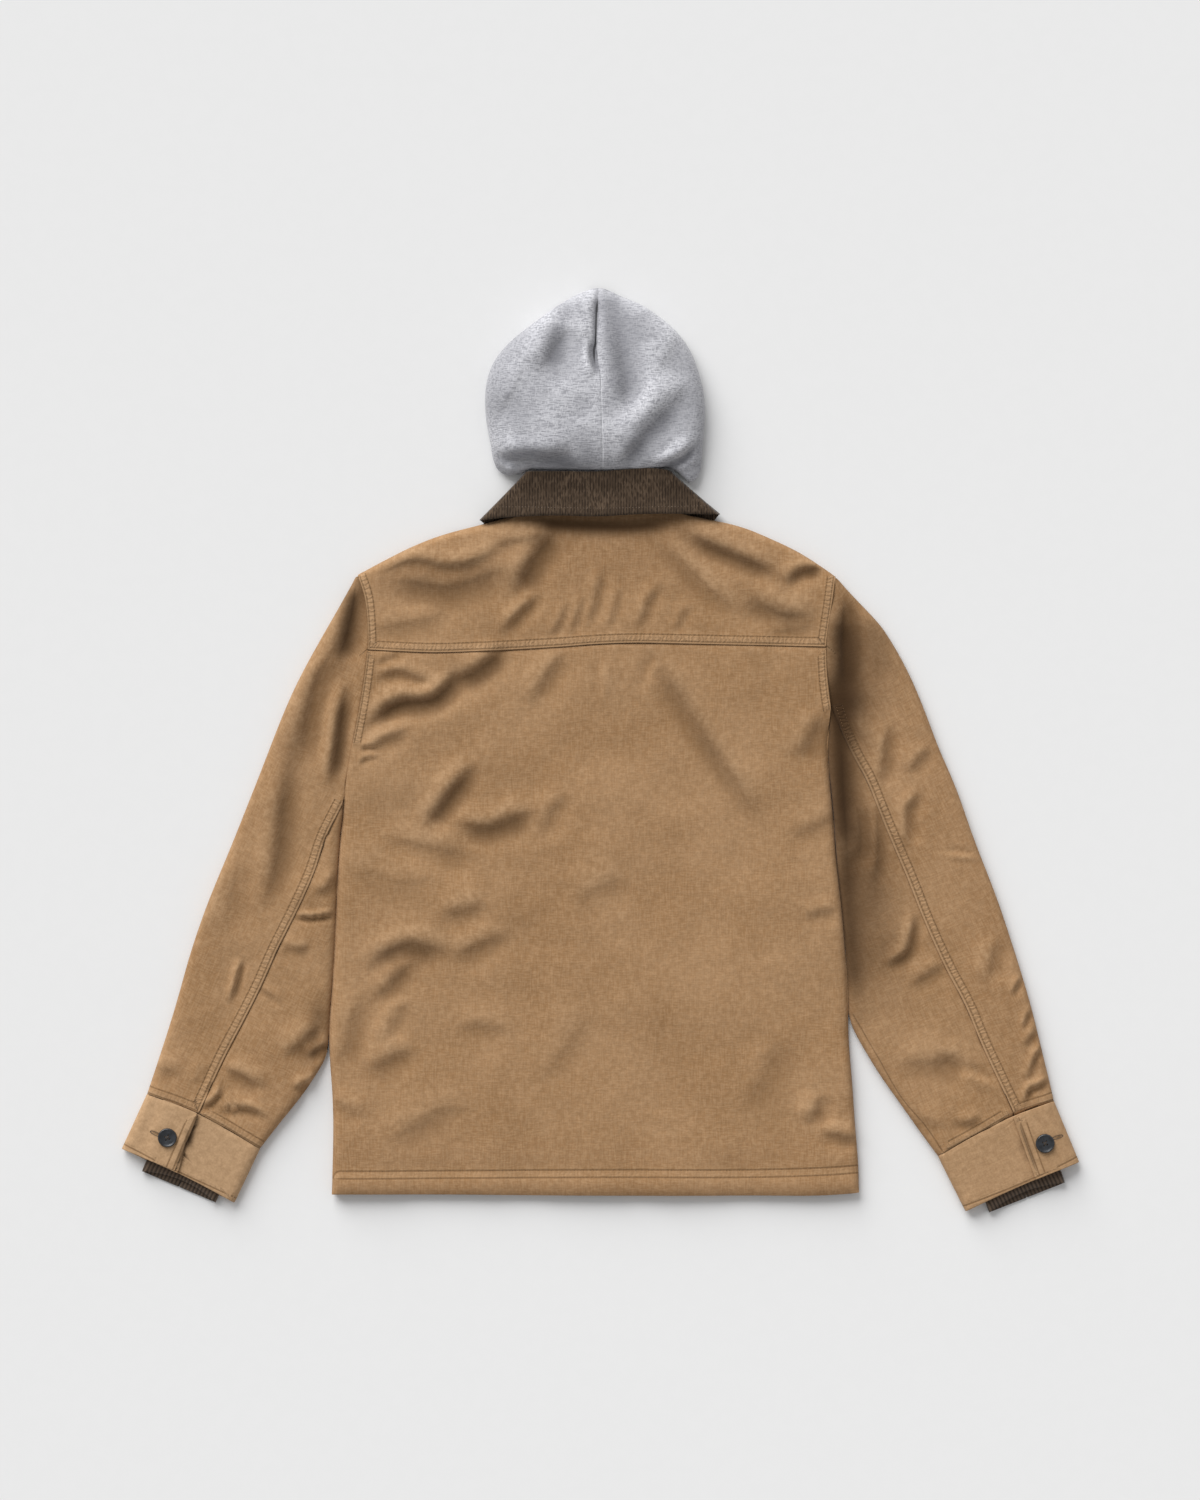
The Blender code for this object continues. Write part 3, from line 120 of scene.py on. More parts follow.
# The folds, each a line that crosses the cloth: half width, height and points. The ridge is on the left of a
# walk along it and the trough on the right, so that a fold drawn left to right turns its shaded face down.
Fold = namedtuple("Fold", "name half height line")
BODY_CREASES = (
    ("left shoulder, outer", 7, 1.7, ((-234, 186), (-220, 190), (-204, 197), (-186, 198), (-165, 193),
        (-140, 195), (-118, 204), (-100, 208))),
    ("left shoulder, broad", 13, 1.7, ((-225, 178), (-198, 176), (-165, 170), (-136, 177), (-108, 187),
        (-92, 193))),
    ("left shoulder, lower", 10, 0.9, ((-236, 127), (-213, 130), (-180, 137), (-164, 146))),
    ("yoke trough, left of middle", 11, 2.3, ((-88, 164), (-81, 182), (-74, 196), (-63, 211), (-48, 226))),
    ("yoke ridge end, left", 6, 1.6, ((-101, 122), (-94, 133), (-84, 144), (-73, 155), (-65, 166))),
    ("yoke upright, first", 4, 0.8, ((-50, 120), (-41, 136), (-36, 153))),
    ("yoke upright, second", 4, 0.8, ((-30, 122), (-22, 145), (-17, 162))),
    ("yoke upright, third", 5, 1.0, ((-12, 128), (-4, 158), (3, 193))),
    ("yoke upright, fourth", 4, 0.7, ((9, 126), (16, 149), (21, 173))),
    ("yoke upright, fifth", 5, 1.0, ((42, 126), (51, 156), (63, 172))),
    ("yoke upright, sixth", 4, 0.6, ((80, 126), (86, 140), (94, 151))),
    ("collar edge hollow, left", 9, 1.2, ((-116, 212), (-84, 220), (-50, 225))),
    ("below the yoke, arc", 6, 1.5, ((-234, 74), (-220, 81), (-207, 82), (-194, 76), (-177, 72))),
    ("below the yoke, upper arc", 5, 0.8, ((-233, 92), (-220, 98), (-208, 100))),
    ("main swag", 8, 2.9, ((-246, 23), (-232, 36), (-220, 46), (-204, 52), (-189, 52), (-176, 55), (-164, 64),
        (-156, 75), (-153, 91))),
    ("swag beside it", 8, 2.2, ((-152, 71), (-140, 79), (-127, 87), (-115, 96), (-104, 105))),
    ("small fold by the armhole", 7, 1.5, ((-239, 5), (-223, 13), (-204, 20))),
    ("pinch by the armhole", 3, 1.1, ((-250, 2), (-242, 4), (-234, 3))),
    ("pinch below it", 3, 0.8, ((-252, -13), (-244, -8), (-235, -8))),
    ("below the yoke, slanting", 9, 1.3, ((-68, 52), (-60, 70), (-49, 87), (-38, 102))),
    ("below the yoke, upright", 5, 0.6, ((0, 92), (2, 74), (3, 57))),
    ("below the yoke, right upright", 6, 0.7, ((58, 94), (52, 82), (48, 63))),
    ("left middle, slanting", 9, 2.2, ((-181, -80), (-165, -56), (-144, -28), (-132, -16))),
    ("left middle, level", 10, 1.7, ((-151, -74), (-122, -82), (-90, -71), (-65, -63))),
    ("middle, slanting", 9, 0.9, ((-63, -90), (-51, -65), (-36, -47))),
    ("left of the middle, low", 12, 1.3, ((-227, -92), (-184, -101), (-128, -113))),
    ("left edge hollow", 18, 1.2, ((-262, -136), (-241, -129), (-210, -138), (-168, -134))),
    ("left, first wave", 9, 1.7, ((-242, -231), (-229, -216), (-219, -210), (-206, -204), (-192, -203),
        (-177, -208), (-158, -214))),
    ("left, second wave", 10, 1.3, ((-152, -216), (-138, -210), (-124, -203), (-109, -198), (-96, -200))),
    ("left, third wave", 9, 1.3, ((-237, -257), (-224, -250), (-214, -238), (-206, -229), (-196, -222))),
    ("left, upright dent", 8, 1.1, ((-221, -304), (-218, -286), (-213, -275), (-203, -267))),
    ("left, fourth wave", 10, 1.2, ((-240, -335), (-224, -326), (-212, -320), (-194, -318))),
    ("left edge, slanting", 11, 1.1, ((-274, -328), (-264, -306), (-257, -278), (-250, -258))),
    ("left, upper wave", 10, 1.1, ((-160, -172), (-143, -168), (-124, -162))),
    ("middle, level", 10, 0.8, ((-145, -290), (-122, -289), (-99, -296))),
    ("left edge, low", 8, 1.0, ((-279, -366), (-266, -375), (-252, -383))),
    ("left, low wave", 12, 0.9, ((-223, -408), (-200, -398), (-163, -377), (-134, -380))),
    ("right shoulder, first", 8, 2.0, ((84, 231), (100, 222), (118, 213), (140, 204), (165, 193),
        (188, 180))),
    ("right shoulder, hook", 6, 1.7, ((198, 174), (206, 186), (217, 190), (233, 190))),
    ("right shoulder, second", 10, 1.7, ((160, 160), (176, 149), (193, 142), (219, 141))),
    ("right yoke diagonal", 9, 1.5, ((60, 228), (84, 199), (104, 178), (124, 160), (150, 138))),
    ("right yoke, low", 9, 0.8, ((178, 124), (200, 126), (223, 130))),
    ("long diagonal", 9, 1.2, ((46, 118), (58, 97), (72, 71), (87, 46), (106, 14), (125, -8), (145, -41),
        (172, -84))),
    ("right edge, first", 10, 1.2, ((208, -6), (221, 15), (231, 34))),
    ("right edge, second", 6, 0.8, ((216, -173), (231, -170), (246, -168))),
    ("right edge, third", 10, 0.8, ((200, -88), (223, -80), (250, -67))),
    ("hem dent, upright", 8, 1.4, ((222, -388), (226, -378), (231, -365))),
    ("hem dent, level", 7, 1.6, ((237, -400), (252, -405), (269, -408))),
    ("lower middle, slanting", 14, 0.8, ((-21, -155), (0, -145), (19, -136))),
    ("lower middle, diagonal", 14, 0.8, ((-63, -346), (-36, -315), (-10, -278))),
    ("right of the middle, diagonal", 13, 0.7, ((145, -378), (168, -346), (185, -304))),
)
SLEEVE_CREASES = (
    ("left head", 9, 2.6, ((-273, 97), (-266, 120), (-260, 145), (-256, 175))),
    ("left outer band, upper", 10, 2.0, ((-313, -16), (-309, 29), (-298, 74), (-279, 105))),
    ("left outer band, lower", 10, 1.7, ((-355, -170), (-342, -128), (-336, -76), (-326, -10))),
    ("left inner band", 6, 2.4, ((-284, -38), (-280, -15), (-274, 27), (-267, 69))),
    ("left forearm, sharp", 3, 1.6, ((-387, -265), (-382, -246), (-375, -218))),
    ("left elbow, sharp", 2.6, 2.0, ((-320, -174), (-302, -175), (-277, -172))),
    ("left elbow, above", 6, 1.2, ((-296, -149), (-286, -144), (-275, -129))),
    ("left elbow, below", 6, 1.0, ((-328, -205), (-318, -209), (-306, -208))),
    ("left notch crease", 3, 0.9, ((-354, -249), (-345, -257), (-336, -264))),
    ("left inner edge, first", 5, 2.0, ((-304, -320), (-294, -313), (-285, -308))),
    ("left inner edge, second", 9, 1.6, ((-328, -318), (-313, -307), (-298, -293))),
    ("left inner edge, third", 5, 1.5, ((-319, -354), (-309, -350), (-297, -345))),
    ("left wrist, upper", 7, 1.6, ((-391, -334), (-372, -343), (-354, -353))),
    ("left wrist, sharp", 3, 1.6, ((-416, -375), (-403, -365), (-394, -353))),
    ("left wrist, wavy", 4, 1.7, ((-403, -376), (-385, -375), (-366, -376), (-349, -387))),
    ("left wrist, outer", 3, 1.3, ((-423, -351), (-420, -339), (-415, -326))),
    ("left wrist, outermost", 8, 1.0, ((-469, -329), (-458, -335), (-444, -338))),
    ("left upper arm, broad", 16, 1.2, ((-391, -187), (-388, -158), (-380, -122))),
    ("right head", 8, 2.6, ((256, 60), (255, 90), (254, 122), (256, 158))),
    ("right head, second", 12, 0.8, ((271, 149), (277, 116), (279, 86))),
    ("right of the armhole", 9, 2.0, ((250, 71), (262, 36), (275, 0))),
    ("right upper arm, soft", 7, 1.5, ((296, -36), (298, -6), (302, 25))),
    ("right upper arm, hook", 6, 1.6, ((326, -100), (322, -76), (324, -59), (336, -45))),
    ("right upper arm, short", 7, 1.0, ((326, -21), (334, -10), (344, 0))),
    ("right pale crease", 2.6, -0.7, ((361, -108), (378, -109), (397, -111))),
    ("right forearm, soft", 9, 1.3, ((408, -239), (411, -220), (415, -202))),
    ("right outer edge, first", 3, 1.2, ((432, -256), (436, -248), (442, -238))),
    ("right outer edge, second", 3, 1.1, ((444, -291), (447, -281), (453, -272))),
    ("right outer edge, third", 4, 1.1, ((446, -309), (452, -300), (458, -293))),
    ("right outer edge, fourth", 3, 1.4, ((452, -330), (457, -320), (465, -310))),
    ("right wrist, sharp", 3, 1.8, ((446, -372), (449, -357), (461, -351), (472, -345))),
    ("right wrist, above", 4, 0.9, ((448, -344), (452, -334), (454, -326))),
    ("right under, hook", 5, 1.9, ((299, -226), (314, -218), (324, -206), (330, -172))),
    ("right under, long", 12, 1.3, ((262, -150), (256, -60), (252, 20))),
    ("right under, beside the body", 8, 2.0, ((271, -118), (273, -92), (270, -65))),
    ("right under, soft", 6, 1.3, ((289, -143), (291, -101), (289, -59))),
    ("right under, low", 7, 1.0, ((328, -246), (342, -236), (359, -226))),
    ("right under, pale", 5, -0.9, ((370, -334), (391, -340), (416, -351))),
    ("right under, broad", 12, 1.2, ((321, -326), (346, -328), (372, -320))),
    ("right under, slanting", 9, 1.2, ((361, -319), (374, -328), (386, -340))),
    ("right wrist, crescent", 5, 1.3, ((375, -387), (382, -391), (398, -388))),
    ("right wrist, inner", 8, 0.9, ((338, -385), (348, -391), (357, -395))),
)
HOOD_CREASES = (
    ("seam groove, upper", 5, -2.2, ((-3, 478), (-4, 452), (-4, 426))),
    ("seam groove, other lip", 5, 2.2, ((-1, 478), (-2, 452), (-3, 426))),
    ("tuck left of the seam", 4, 1.8, ((-3, 390), (-9, 404), (-10, 428))),
    ("hollow left of the seam", 16, 2.6, ((-60, 402), (-48, 420), (-36, 436))),
    ("long trough right of the seam", 11, -3.0, ((14, 452), (22, 412), (26, 378), (23, 355))),
    ("diagonal trough", 14, 2.6, ((24, 306), (50, 334), (78, 366), (92, 384))),
    ("fold over the collar, left", 10, 2.6, ((-112, 312), (-86, 303), (-52, 304), (-30, 312))),
    ("curl at the left neck", 4, 2.0, ((-108, 300), (-100, 292), (-90, 290))),
    ("right neck crease", 6, 2.6, ((58, 293), (76, 302), (98, 318))),
    ("roll under it", 8, 1.6, ((62, 290), (84, 292), (106, 306))),
    ("left side hollow", 18, 1.6, ((-108, 350), (-92, 372), (-80, 400))),
    ("right side hollow", 16, 1.4, ((60, 396), (76, 420), (84, 446))),
    ("small tuck, right low", 6, 1.4, ((20, 300), (34, 312), (46, 326))),
)
COLLAR_CREASES = (
    ("left end, slack", 12, 0.6, ((-112, 262), (-90, 270), (-70, 284))),
    ("right end, slack", 10, 0.6, ((66, 268), (84, 276), (98, 262))),
)

# The hollows, where the cloth sinks and painted shade darkens it: half width, depth, painted shade from 0 to
# 1 and points.
Hollow = namedtuple("Hollow", "name half depth shade line")
SLEEVE_HOLLOWS = (
    ("right of the armhole", 12, 2.4, 0.8, ((253, 152), (255, 124), (258, 90), (260, 50), (264, 20))),
    ("right sleeve head, soft", 20, 0.8, 0.35, ((266, 140), (272, 100), (276, 60), (280, 20))),
    ("right armpit", 15, 2.6, 0.95, ((257, 105), (255, 60), (251, 20), (252, -30), (256, -85), (261, -130))),
    ("under the body's right edge", 12, 2.0, 0.8, ((257, -96), (260, -160), (264, -220), (268, -275))),
    ("right under sleeve", 22, 0.9, 0.4, ((276, -60), (284, -130), (290, -200), (296, -260))),
    ("left of the armhole", 8, 2.0, 0.72, ((-258, 178), (-262, 146), (-266, 116), (-272, 88))),
    ("left inner band", 6, 1.4, 0.6, ((-267, 60), (-272, 16), (-278, -37))),
    ("left outer band", 8, 0.8, 0.35, ((-296, 74), (-314, 26), (-330, -42), (-335, -105), (-348, -160))),
    ("right hind, soft", 10, 0.8, 0.3, ((282, -74), (289, -126), (281, -189))),
    ("right sleeve cap, soft", 12, 0.8, 0.25, ((275, 145), (294, 105), (302, 63))),
    ("left inner edge", 7, 1.5, 0.45, ((-292, -262), (-298, -304), (-309, -332))),
)
BODY_HOLLOWS = (
    ("under the collar", 7, 0.3, 0.95, ((-94, 243), (-60, 237), (0, 234), (50, 235), (96, 243))),
    ("left shoulder", 13, 0.9, 0.35, ((-222, 180), (-168, 181), (-120, 188), (-95, 199))),
    ("yoke trough", 9, 1.2, 0.45, ((-84, 166), (-66, 198), (-50, 225))),
    ("main swag", 7, 1.2, 0.5, ((-242, 25), (-216, 45), (-190, 47), (-170, 52), (-156, 67), (-151, 86))),
    ("swag beside it", 7, 0.9, 0.45, ((-147, 71), (-126, 77), (-101, 100))),
    ("left middle, slanting", 7, 0.8, 0.4, ((-180, -82), (-158, -51), (-136, -27))),
    ("left middle, level", 8, 0.8, 0.35, ((-147, -80), (-116, -85), (-71, -74))),
    ("long diagonal", 7, 0.5, 0.3, ((57, 100), (76, 66), (95, 36), (113, 8), (136, -28), (162, -70))),
    ("right shoulder", 7, 0.8, 0.42, ((92, 226), (118, 212), (150, 200), (188, 182))),
    ("right shoulder, hook", 5, 0.6, 0.4, ((193, 172), (206, 182), (233, 187))),
    ("right shoulder, second", 9, 0.6, 0.3, ((151, 162), (174, 147), (212, 138))),
    ("lower left, first", 8, 0.6, 0.3, ((-237, -225), (-212, -212), (-166, -216))),
    ("lower left, second", 8, 0.6, 0.25, ((-225, -246), (-200, -231))),
)
HOOD_HOLLOWS = (
    ("left of the seam", 9, 3.4, 0.72, ((-38, 448), (-44, 430), (-47, 408), (-44, 396))),
    ("right of the seam", 12, 3.8, 0.78, ((6, 496), (11, 466), (15, 436), (20, 400), (23, 372), (12, 354))),
    ("far right, soft", 14, 1.6, 0.5, ((38, 460), (48, 441), (52, 420))),
    ("slanting", 9, 3.0, 0.66, ((80, 360), (60, 340), (42, 324), (22, 297))),
    ("right crease", 3.2, 2.8, 0.79, ((101, 318), (89, 305), (75, 299), (60, 295))),
    ("right of the crease", 9, 1.2, 0.4, ((108, 330), (107, 304), (104, 286))),
    ("left neck fold", 5, 2.6, 0.75, ((-103, 290), (-98, 305), (-75, 308), (-43, 303), (-12, 296))),
    ("above the neck fold", 13, 1.4, 0.4, ((-96, 316), (-60, 316), (-24, 306))),
    ("low, left of the seam", 9, 1.4, 0.42, ((-15, 372), (-21, 358), (-24, 342))),
    ("low, by the seam", 6, 1.0, 0.4, ((-22, 321), (-13, 312), (-4, 300))),
    ("left flank", 18, 1.0, 0.5, ((-117, 320), (-117, 366), (-109, 402), (-90, 432), (-62, 460))),
    ("left of the crown", 12, 0.8, 0.4, ((-52, 462), (-32, 462), (-12, 470))),
    ("right flank", 10, 0.8, 0.4, ((94, 418), (108, 359), (104, 310))),
    ("tuck by the seam", 3, 1.6, 0.7, ((-10, 429), (-9, 412), (-3, 393))),
    ("open seam", 1.6, 1.2, 1.0, ((-3, 482), (-4, 460), (-5, 430), (-6, 414), (-3, 393))),
)
CUFF_HOLLOWS = (
    ("slit left", 1.5, 0.5, 1.0, ((-420.6, -384), (-426, -396), (-434, -415), (-443.5, -438))),
    ("slit right", 1.0, 0.3, 0.6, ((436.6, -386), (441, -398), (448, -416), (457, -442))),
    ("buttonhole left", 1.1, 0.2, 0.85, ((-470, -400), (-465, -402), (-460, -404))),
    ("buttonhole right", 1.1, 0.2, 0.85, ((475, -406.7), (479.5, -405.5), (484, -404.3))),
)

# The pieces of cloth. Grain is the turn of the warp from +Y in degrees, flat the rectangle that the piece
# is cut from in metres, and area the part of it that the piece keeps, in square metres. Pale is how much
# paler its colour is drawn.
Cloth = namedtuple("Cloth", "node slot levels grain folds waves pale flat area rests")
CLOTH = (
    Cloth("back_panel", "canvas", 3, 0, "body", 0.9, 0.0, (0.58, 0.60), 0.310, ("front_left", "front_right")),
    Cloth("back_yoke", "canvas", 3, 0, "body", 0.7, 0.0, (0.51, 0.16), 0.066, ("front_left", "front_right")),
    Cloth("front_left", "canvas", 1, 0, "", 0.0, 0.0, (0.30, 0.72), 0.183, ("zip_chain",)),
    Cloth("front_right", "canvas", 1, 0, "", 0.0, 0.0, (0.30, 0.72), 0.172, ("zip_chain",)),
    Cloth("sleeve_left_outer", "canvas", 3, -24, "sleeve", 0.7, 0.0, (0.26, 0.60), 0.105, ()),
    Cloth("sleeve_left_under", "canvas", 3, -24, "sleeve", 0.7, 0.0, (0.16, 0.35), 0.031, ()),
    Cloth("sleeve_right_outer", "canvas", 3, 24, "sleeve", 0.7, 0.0, (0.26, 0.60), 0.115, ()),
    Cloth("sleeve_right_under", "canvas", 3, 24, "sleeve", 0.7, 0.0, (0.20, 0.45), 0.049, ()),
    Cloth("cuff_left", "canvas", 3, -26, "cuff", 0.3, 0.9, (0.29, 0.075), 0.0195, ("rib_cuff_left",)),
    Cloth("cuff_right", "canvas", 3, 26, "cuff", 0.3, 0.45, (0.29, 0.075), 0.0205, ("rib_cuff_right",)),
    Cloth("rib_cuff_left", "rib_knit", 1, -26, "", 0.0, 0.0, (0.20, 0.085), 0.0120, ()),
    Cloth("rib_cuff_right", "rib_knit", 1, 26, "", 0.0, 0.0, (0.20, 0.085), 0.0120, ()),
    Cloth("collar", "corduroy", 2, 0, "collar", 0.3, 0.0, (0.28, 0.15), 0.041, ("back_yoke",)),
    Cloth("hood_left", "fleece", 3, 0, "hood", 1.4, 0.0, (0.19, 0.24), 0.034, ("collar",)),
    Cloth("hood_right", "fleece", 3, 0, "hood", 1.4, 0.0, (0.19, 0.24), 0.032, ("collar",)),
)

# How the upper cloth moves.
STILL_BELOW = 4.9      # the leaf that lies on the floor isn't moved
FREE_ABOVE = 7.3       # cloth above this height moves in full
DEEPEST = 5.2          # no fold or hollow sinks the upper cloth further than this
SMOOTHING = 6          # points drawn between two of a fold's own
FOLD_SPREAD = 1.12     # share of the tables' half widths, for cloth over wadding
CRISP = 0.72           # makes a fold's slope steep at its line; at 1 it is a soft wave
FOLD_FADE = 0.34       # share of its length over which each end of a fold fades out
HOLLOW_FADE = 0.25     # the same for a hollow
HOLLOW_END = 0.35      # share of its depth that a hollow keeps at its ends
FULL_WEAR_AND_SHADE = 4.0       # height of a ridge worn in full, and depth of a trough darkened in full with painted shade
SLACK = ((85, 1.6, 3), (38, 1.0, 5), (19, 0.35, 7))     # loose waves: size across, height and seed
HELD_EDGE = 0.8        # crease of a cut edge, where cloth turns by more than SHARP degrees
SHARP = 50

# What a seam does to the cloth beside it.
SEAM_REACH = 30.0      # it marks nothing further away than this
NO_SEAM = 40.0         # stored where no seam is near
NO_ROW = 9.0           # stored where no row of stitches is near
SEAM_PULL = 0.42       # cloth is pulled this far over its seam, so that no light comes through
SEAM_FLANK = 5.0       # its pull and its dip end this far away
LIP = 0.55             # the edge that carries the rows stands up this much
DIP = 0.5              # the other edge sinks this much
ROW_REACH = 14.0       # its rows mark the cloth as far as this beyond the second
BARE_REACH = 20.0      # a seam without rows clears away those of others this near
LONE_GAP = 7.0         # a lone row is drawn as wide as one of two that lie this far apart
EDGES = ("hem", "cuff edge left", "cuff edge right", "collar edge")     # rows beside a cut edge
ON_WHOLE_CLOTH = ("underarm right", "head left", "head right")     # seams that aren't cuts in the solids


def path(points):
    """Draws a smooth line through a table's points, and returns its points in millimetres."""
    p = np.array(points, float)
    p = np.vstack([2 * p[0] - p[1], p, 2 * p[-1] - p[-2]])
    t = np.linspace(0, 1, SMOOTHING, endpoint=False)[:, None]
    spans = []
    for a, b, c, d in zip(p[:-3], p[1:-2], p[2:-1], p[3:]):
        spans.append(0.5 * (2 * b + (c - a) * t + (2 * a - 5 * b + 4 * c - d) * t**2
                            + (3 * b - a - 3 * c + d) * t**3))
    return np.vstack(spans + [p[-2:-1]])


def along(line, xy):
    """Gives each point's distance from a line, its side (1 on the left), its run along it, the line's length
    and the way to it."""
    far = np.full(len(xy), 1e9)
    way = np.zeros((len(xy), 2))
    side = np.ones(len(xy))
    run = np.zeros(len(xy))
    start = 0.0
    for a, b in zip(line[:-1], line[1:]):
        d = b - a
        length = np.hypot(*d)
        t = np.clip(((xy - a) @ d) / length**2, 0, 1)
        off = xy - a - t[:, None] * d
        distance = np.hypot(off[:, 0], off[:, 1])
        nearer = distance < far
        far[nearer] = distance[nearer]
        side[nearer] = np.sign(d[0] * off[nearer, 1] - d[1] * off[nearer, 0])
        run[nearer] = start + t[nearer] * length
        way[nearer] = -off[nearer]
        start += length
    return far, side, run, start, way / np.maximum(far, 1e-6)[:, None]


def run_on(line, reach):
    """Draws a line on past both its ends, so that a fold fades out there and not within its length."""
    first, last = line[0] - line[1], line[-1] - line[-2]
    return np.vstack([line[0] + first / np.hypot(*first) * reach, line,
                      line[-1] + last / np.hypot(*last) * reach])


def ease(low, high, value):
    """Rises from 0 at low to 1 at high, with no corner at either end."""
    t = np.clip((value - low) / (high - low), 0, 1)
    return t * t * (3 - 2 * t)


def fade_out(run, length, share):
    """Falls from 1 to 0 over the given share of a line at each end."""
    return ease(0, share, run / length) * ease(0, share, 1 - run / length)


def beside(line, xy, reach):
    """Finds the points that may lie within reach of a line."""
    return np.all((xy > line.min(0) - reach) & (xy < line.max(0) + reach), axis=1)


def fold_heights(folds, xy):
    """Adds up the folds' heights at each point."""
    height = np.zeros(len(xy))
    for row in folds:
        fold = Fold(*row)
        line = run_on(path(fold.line), fold.half)
        near = beside(line, xy, 4.5 * fold.half)
        if near.any():
            far, side, run, length, _ = along(line, xy[near])
            t = far / (fold.half * FOLD_SPREAD)
            height[near] += (fold.height * side * t**CRISP * np.exp(0.5 - 0.5 * t**2)
                             * fade_out(run, length, FOLD_FADE))
    return height


def hollow_depths(hollows, xy):
    """Adds up how far each point sinks into the hollows, and how deep their painted shade is there."""
    depth, shade = np.zeros((2, len(xy)))
    for row in hollows:
        hollow = Hollow(*row)
        line = path(hollow.line)
        near = beside(line, xy, 4 * hollow.half)
        if near.any():
            far, _, run, length, _ = along(line, xy[near])
            share = np.exp(-0.5 * (far / hollow.half) ** 2)
            share *= HOLLOW_END + (1 - HOLLOW_END) * fade_out(run, length, HOLLOW_FADE)
            depth[near] += hollow.depth * share
            shade[near] = 1 - (1 - shade[near]) * (1 - hollow.shade * share)
    return depth, shade


def waves(xy, size, seed):
    """Gives smooth, random waves from -1 to 1, about a given size in millimetres across."""
    rng = np.random.default_rng(seed)
    table = rng.uniform(-1, 1, (64, 64))
    p = xy / size + 20
    cell = np.floor(p).astype(int)
    t = p - cell
    t = t * t * t * (t * (6 * t - 15) + 10)
    x, y = cell[:, 0] % 63, cell[:, 1] % 63
    low = table[x, y] * (1 - t[:, 0]) + table[x + 1, y] * t[:, 0]
    high = table[x, y + 1] * (1 - t[:, 0]) + table[x + 1, y + 1] * t[:, 0]
    return low * (1 - t[:, 1]) + high * t[:, 1]


def alone(obj):
    """Selects one object and nothing else."""
    bpy.ops.object.select_all(action="DESELECT")
    obj.select_set(True)
    bpy.context.view_layer.objects.active = obj


def apply(piece, name, kind, **settings):
    """Gives a piece a modifier with its settings, and applies it."""
    modifier = piece.modifiers.new(name, kind)
    for key, value in settings.items():
        setattr(modifier, key, value)
    alone(piece)
    bpy.ops.object.modifier_apply(modifier=name)


def copy_of(node):
    """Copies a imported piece's mesh into a new object, with its triangles merged to whole faces."""
    piece = bpy.data.objects.new(node + "_cloth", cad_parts[node].data.copy())
    piece.data.materials.clear()
    bpy.context.scene.collection.objects.link(piece)
    alone(piece)
    bpy.ops.object.mode_set(mode="EDIT")
    bpy.ops.mesh.select_all(action="SELECT")
    bpy.ops.mesh.remove_doubles(threshold=0.01 * MM)
    bpy.ops.mesh.tris_convert_to_quads(face_threshold=math.radians(60), shape_threshold=math.radians(60))
    bpy.ops.object.mode_set(mode="OBJECT")
    return piece


def soften(piece, levels):
    """Subdivides a piece of cloth, and keeps its cut edges."""
    mesh = piece.data
    crease = mesh.attributes.new("crease_edge", "FLOAT", "EDGE")
    bm = bmesh.new()
    bm.from_mesh(mesh)
    bm.edges.ensure_lookup_table()
    turns = [edge.calc_face_angle(0) for edge in bm.edges]
    bm.free()
    crease.data.foreach_set("value", [HELD_EDGE if turn > math.radians(SHARP) else 0.0 for turn in turns])
    apply(piece, "smooth", "SUBSURF", levels=levels, render_levels=levels)
    bpy.ops.object.shade_smooth_by_angle(angle=math.radians(SHARP))


def points_of(piece):
    """Reads a mesh's points in millimetres."""
    flat = np.empty(len(piece.data.vertices) * 3)
    piece.data.vertices.foreach_get("co", flat)
    return flat.reshape(-1, 3) / MM


def move_to(piece, points):
    """Puts a mesh's points at new places, in millimetres."""
    piece.data.vertices.foreach_set("co", (points * MM).ravel())
    piece.data.update()


def keep(piece, **values):
    """Stores numbers for each point, for the materials to read."""
    for name, numbers in values.items():
        layer = piece.data.attributes.new(name, "FLOAT", "POINT")
        layer.data.foreach_set("value", np.asarray(numbers, float))


def lay_grain(piece, points, turn):
    """Gives a piece its cloth map: metres along the weft and the warp."""
    turn = math.radians(turn)
    across = points[:, 0] * math.cos(turn) + points[:, 1] * math.sin(turn)
    up = points[:, 1] * math.cos(turn) - points[:, 0] * math.sin(turn)
    corner = np.empty(len(piece.data.loops), int)
    piece.data.loops.foreach_get("vertex_index", corner)
    both = np.stack([across, up + points[:, 2]], axis=1) * MM
    layer = piece.data.uv_layers.new(name="cloth")
    layer.data.foreach_set("uv", both[corner].ravel())


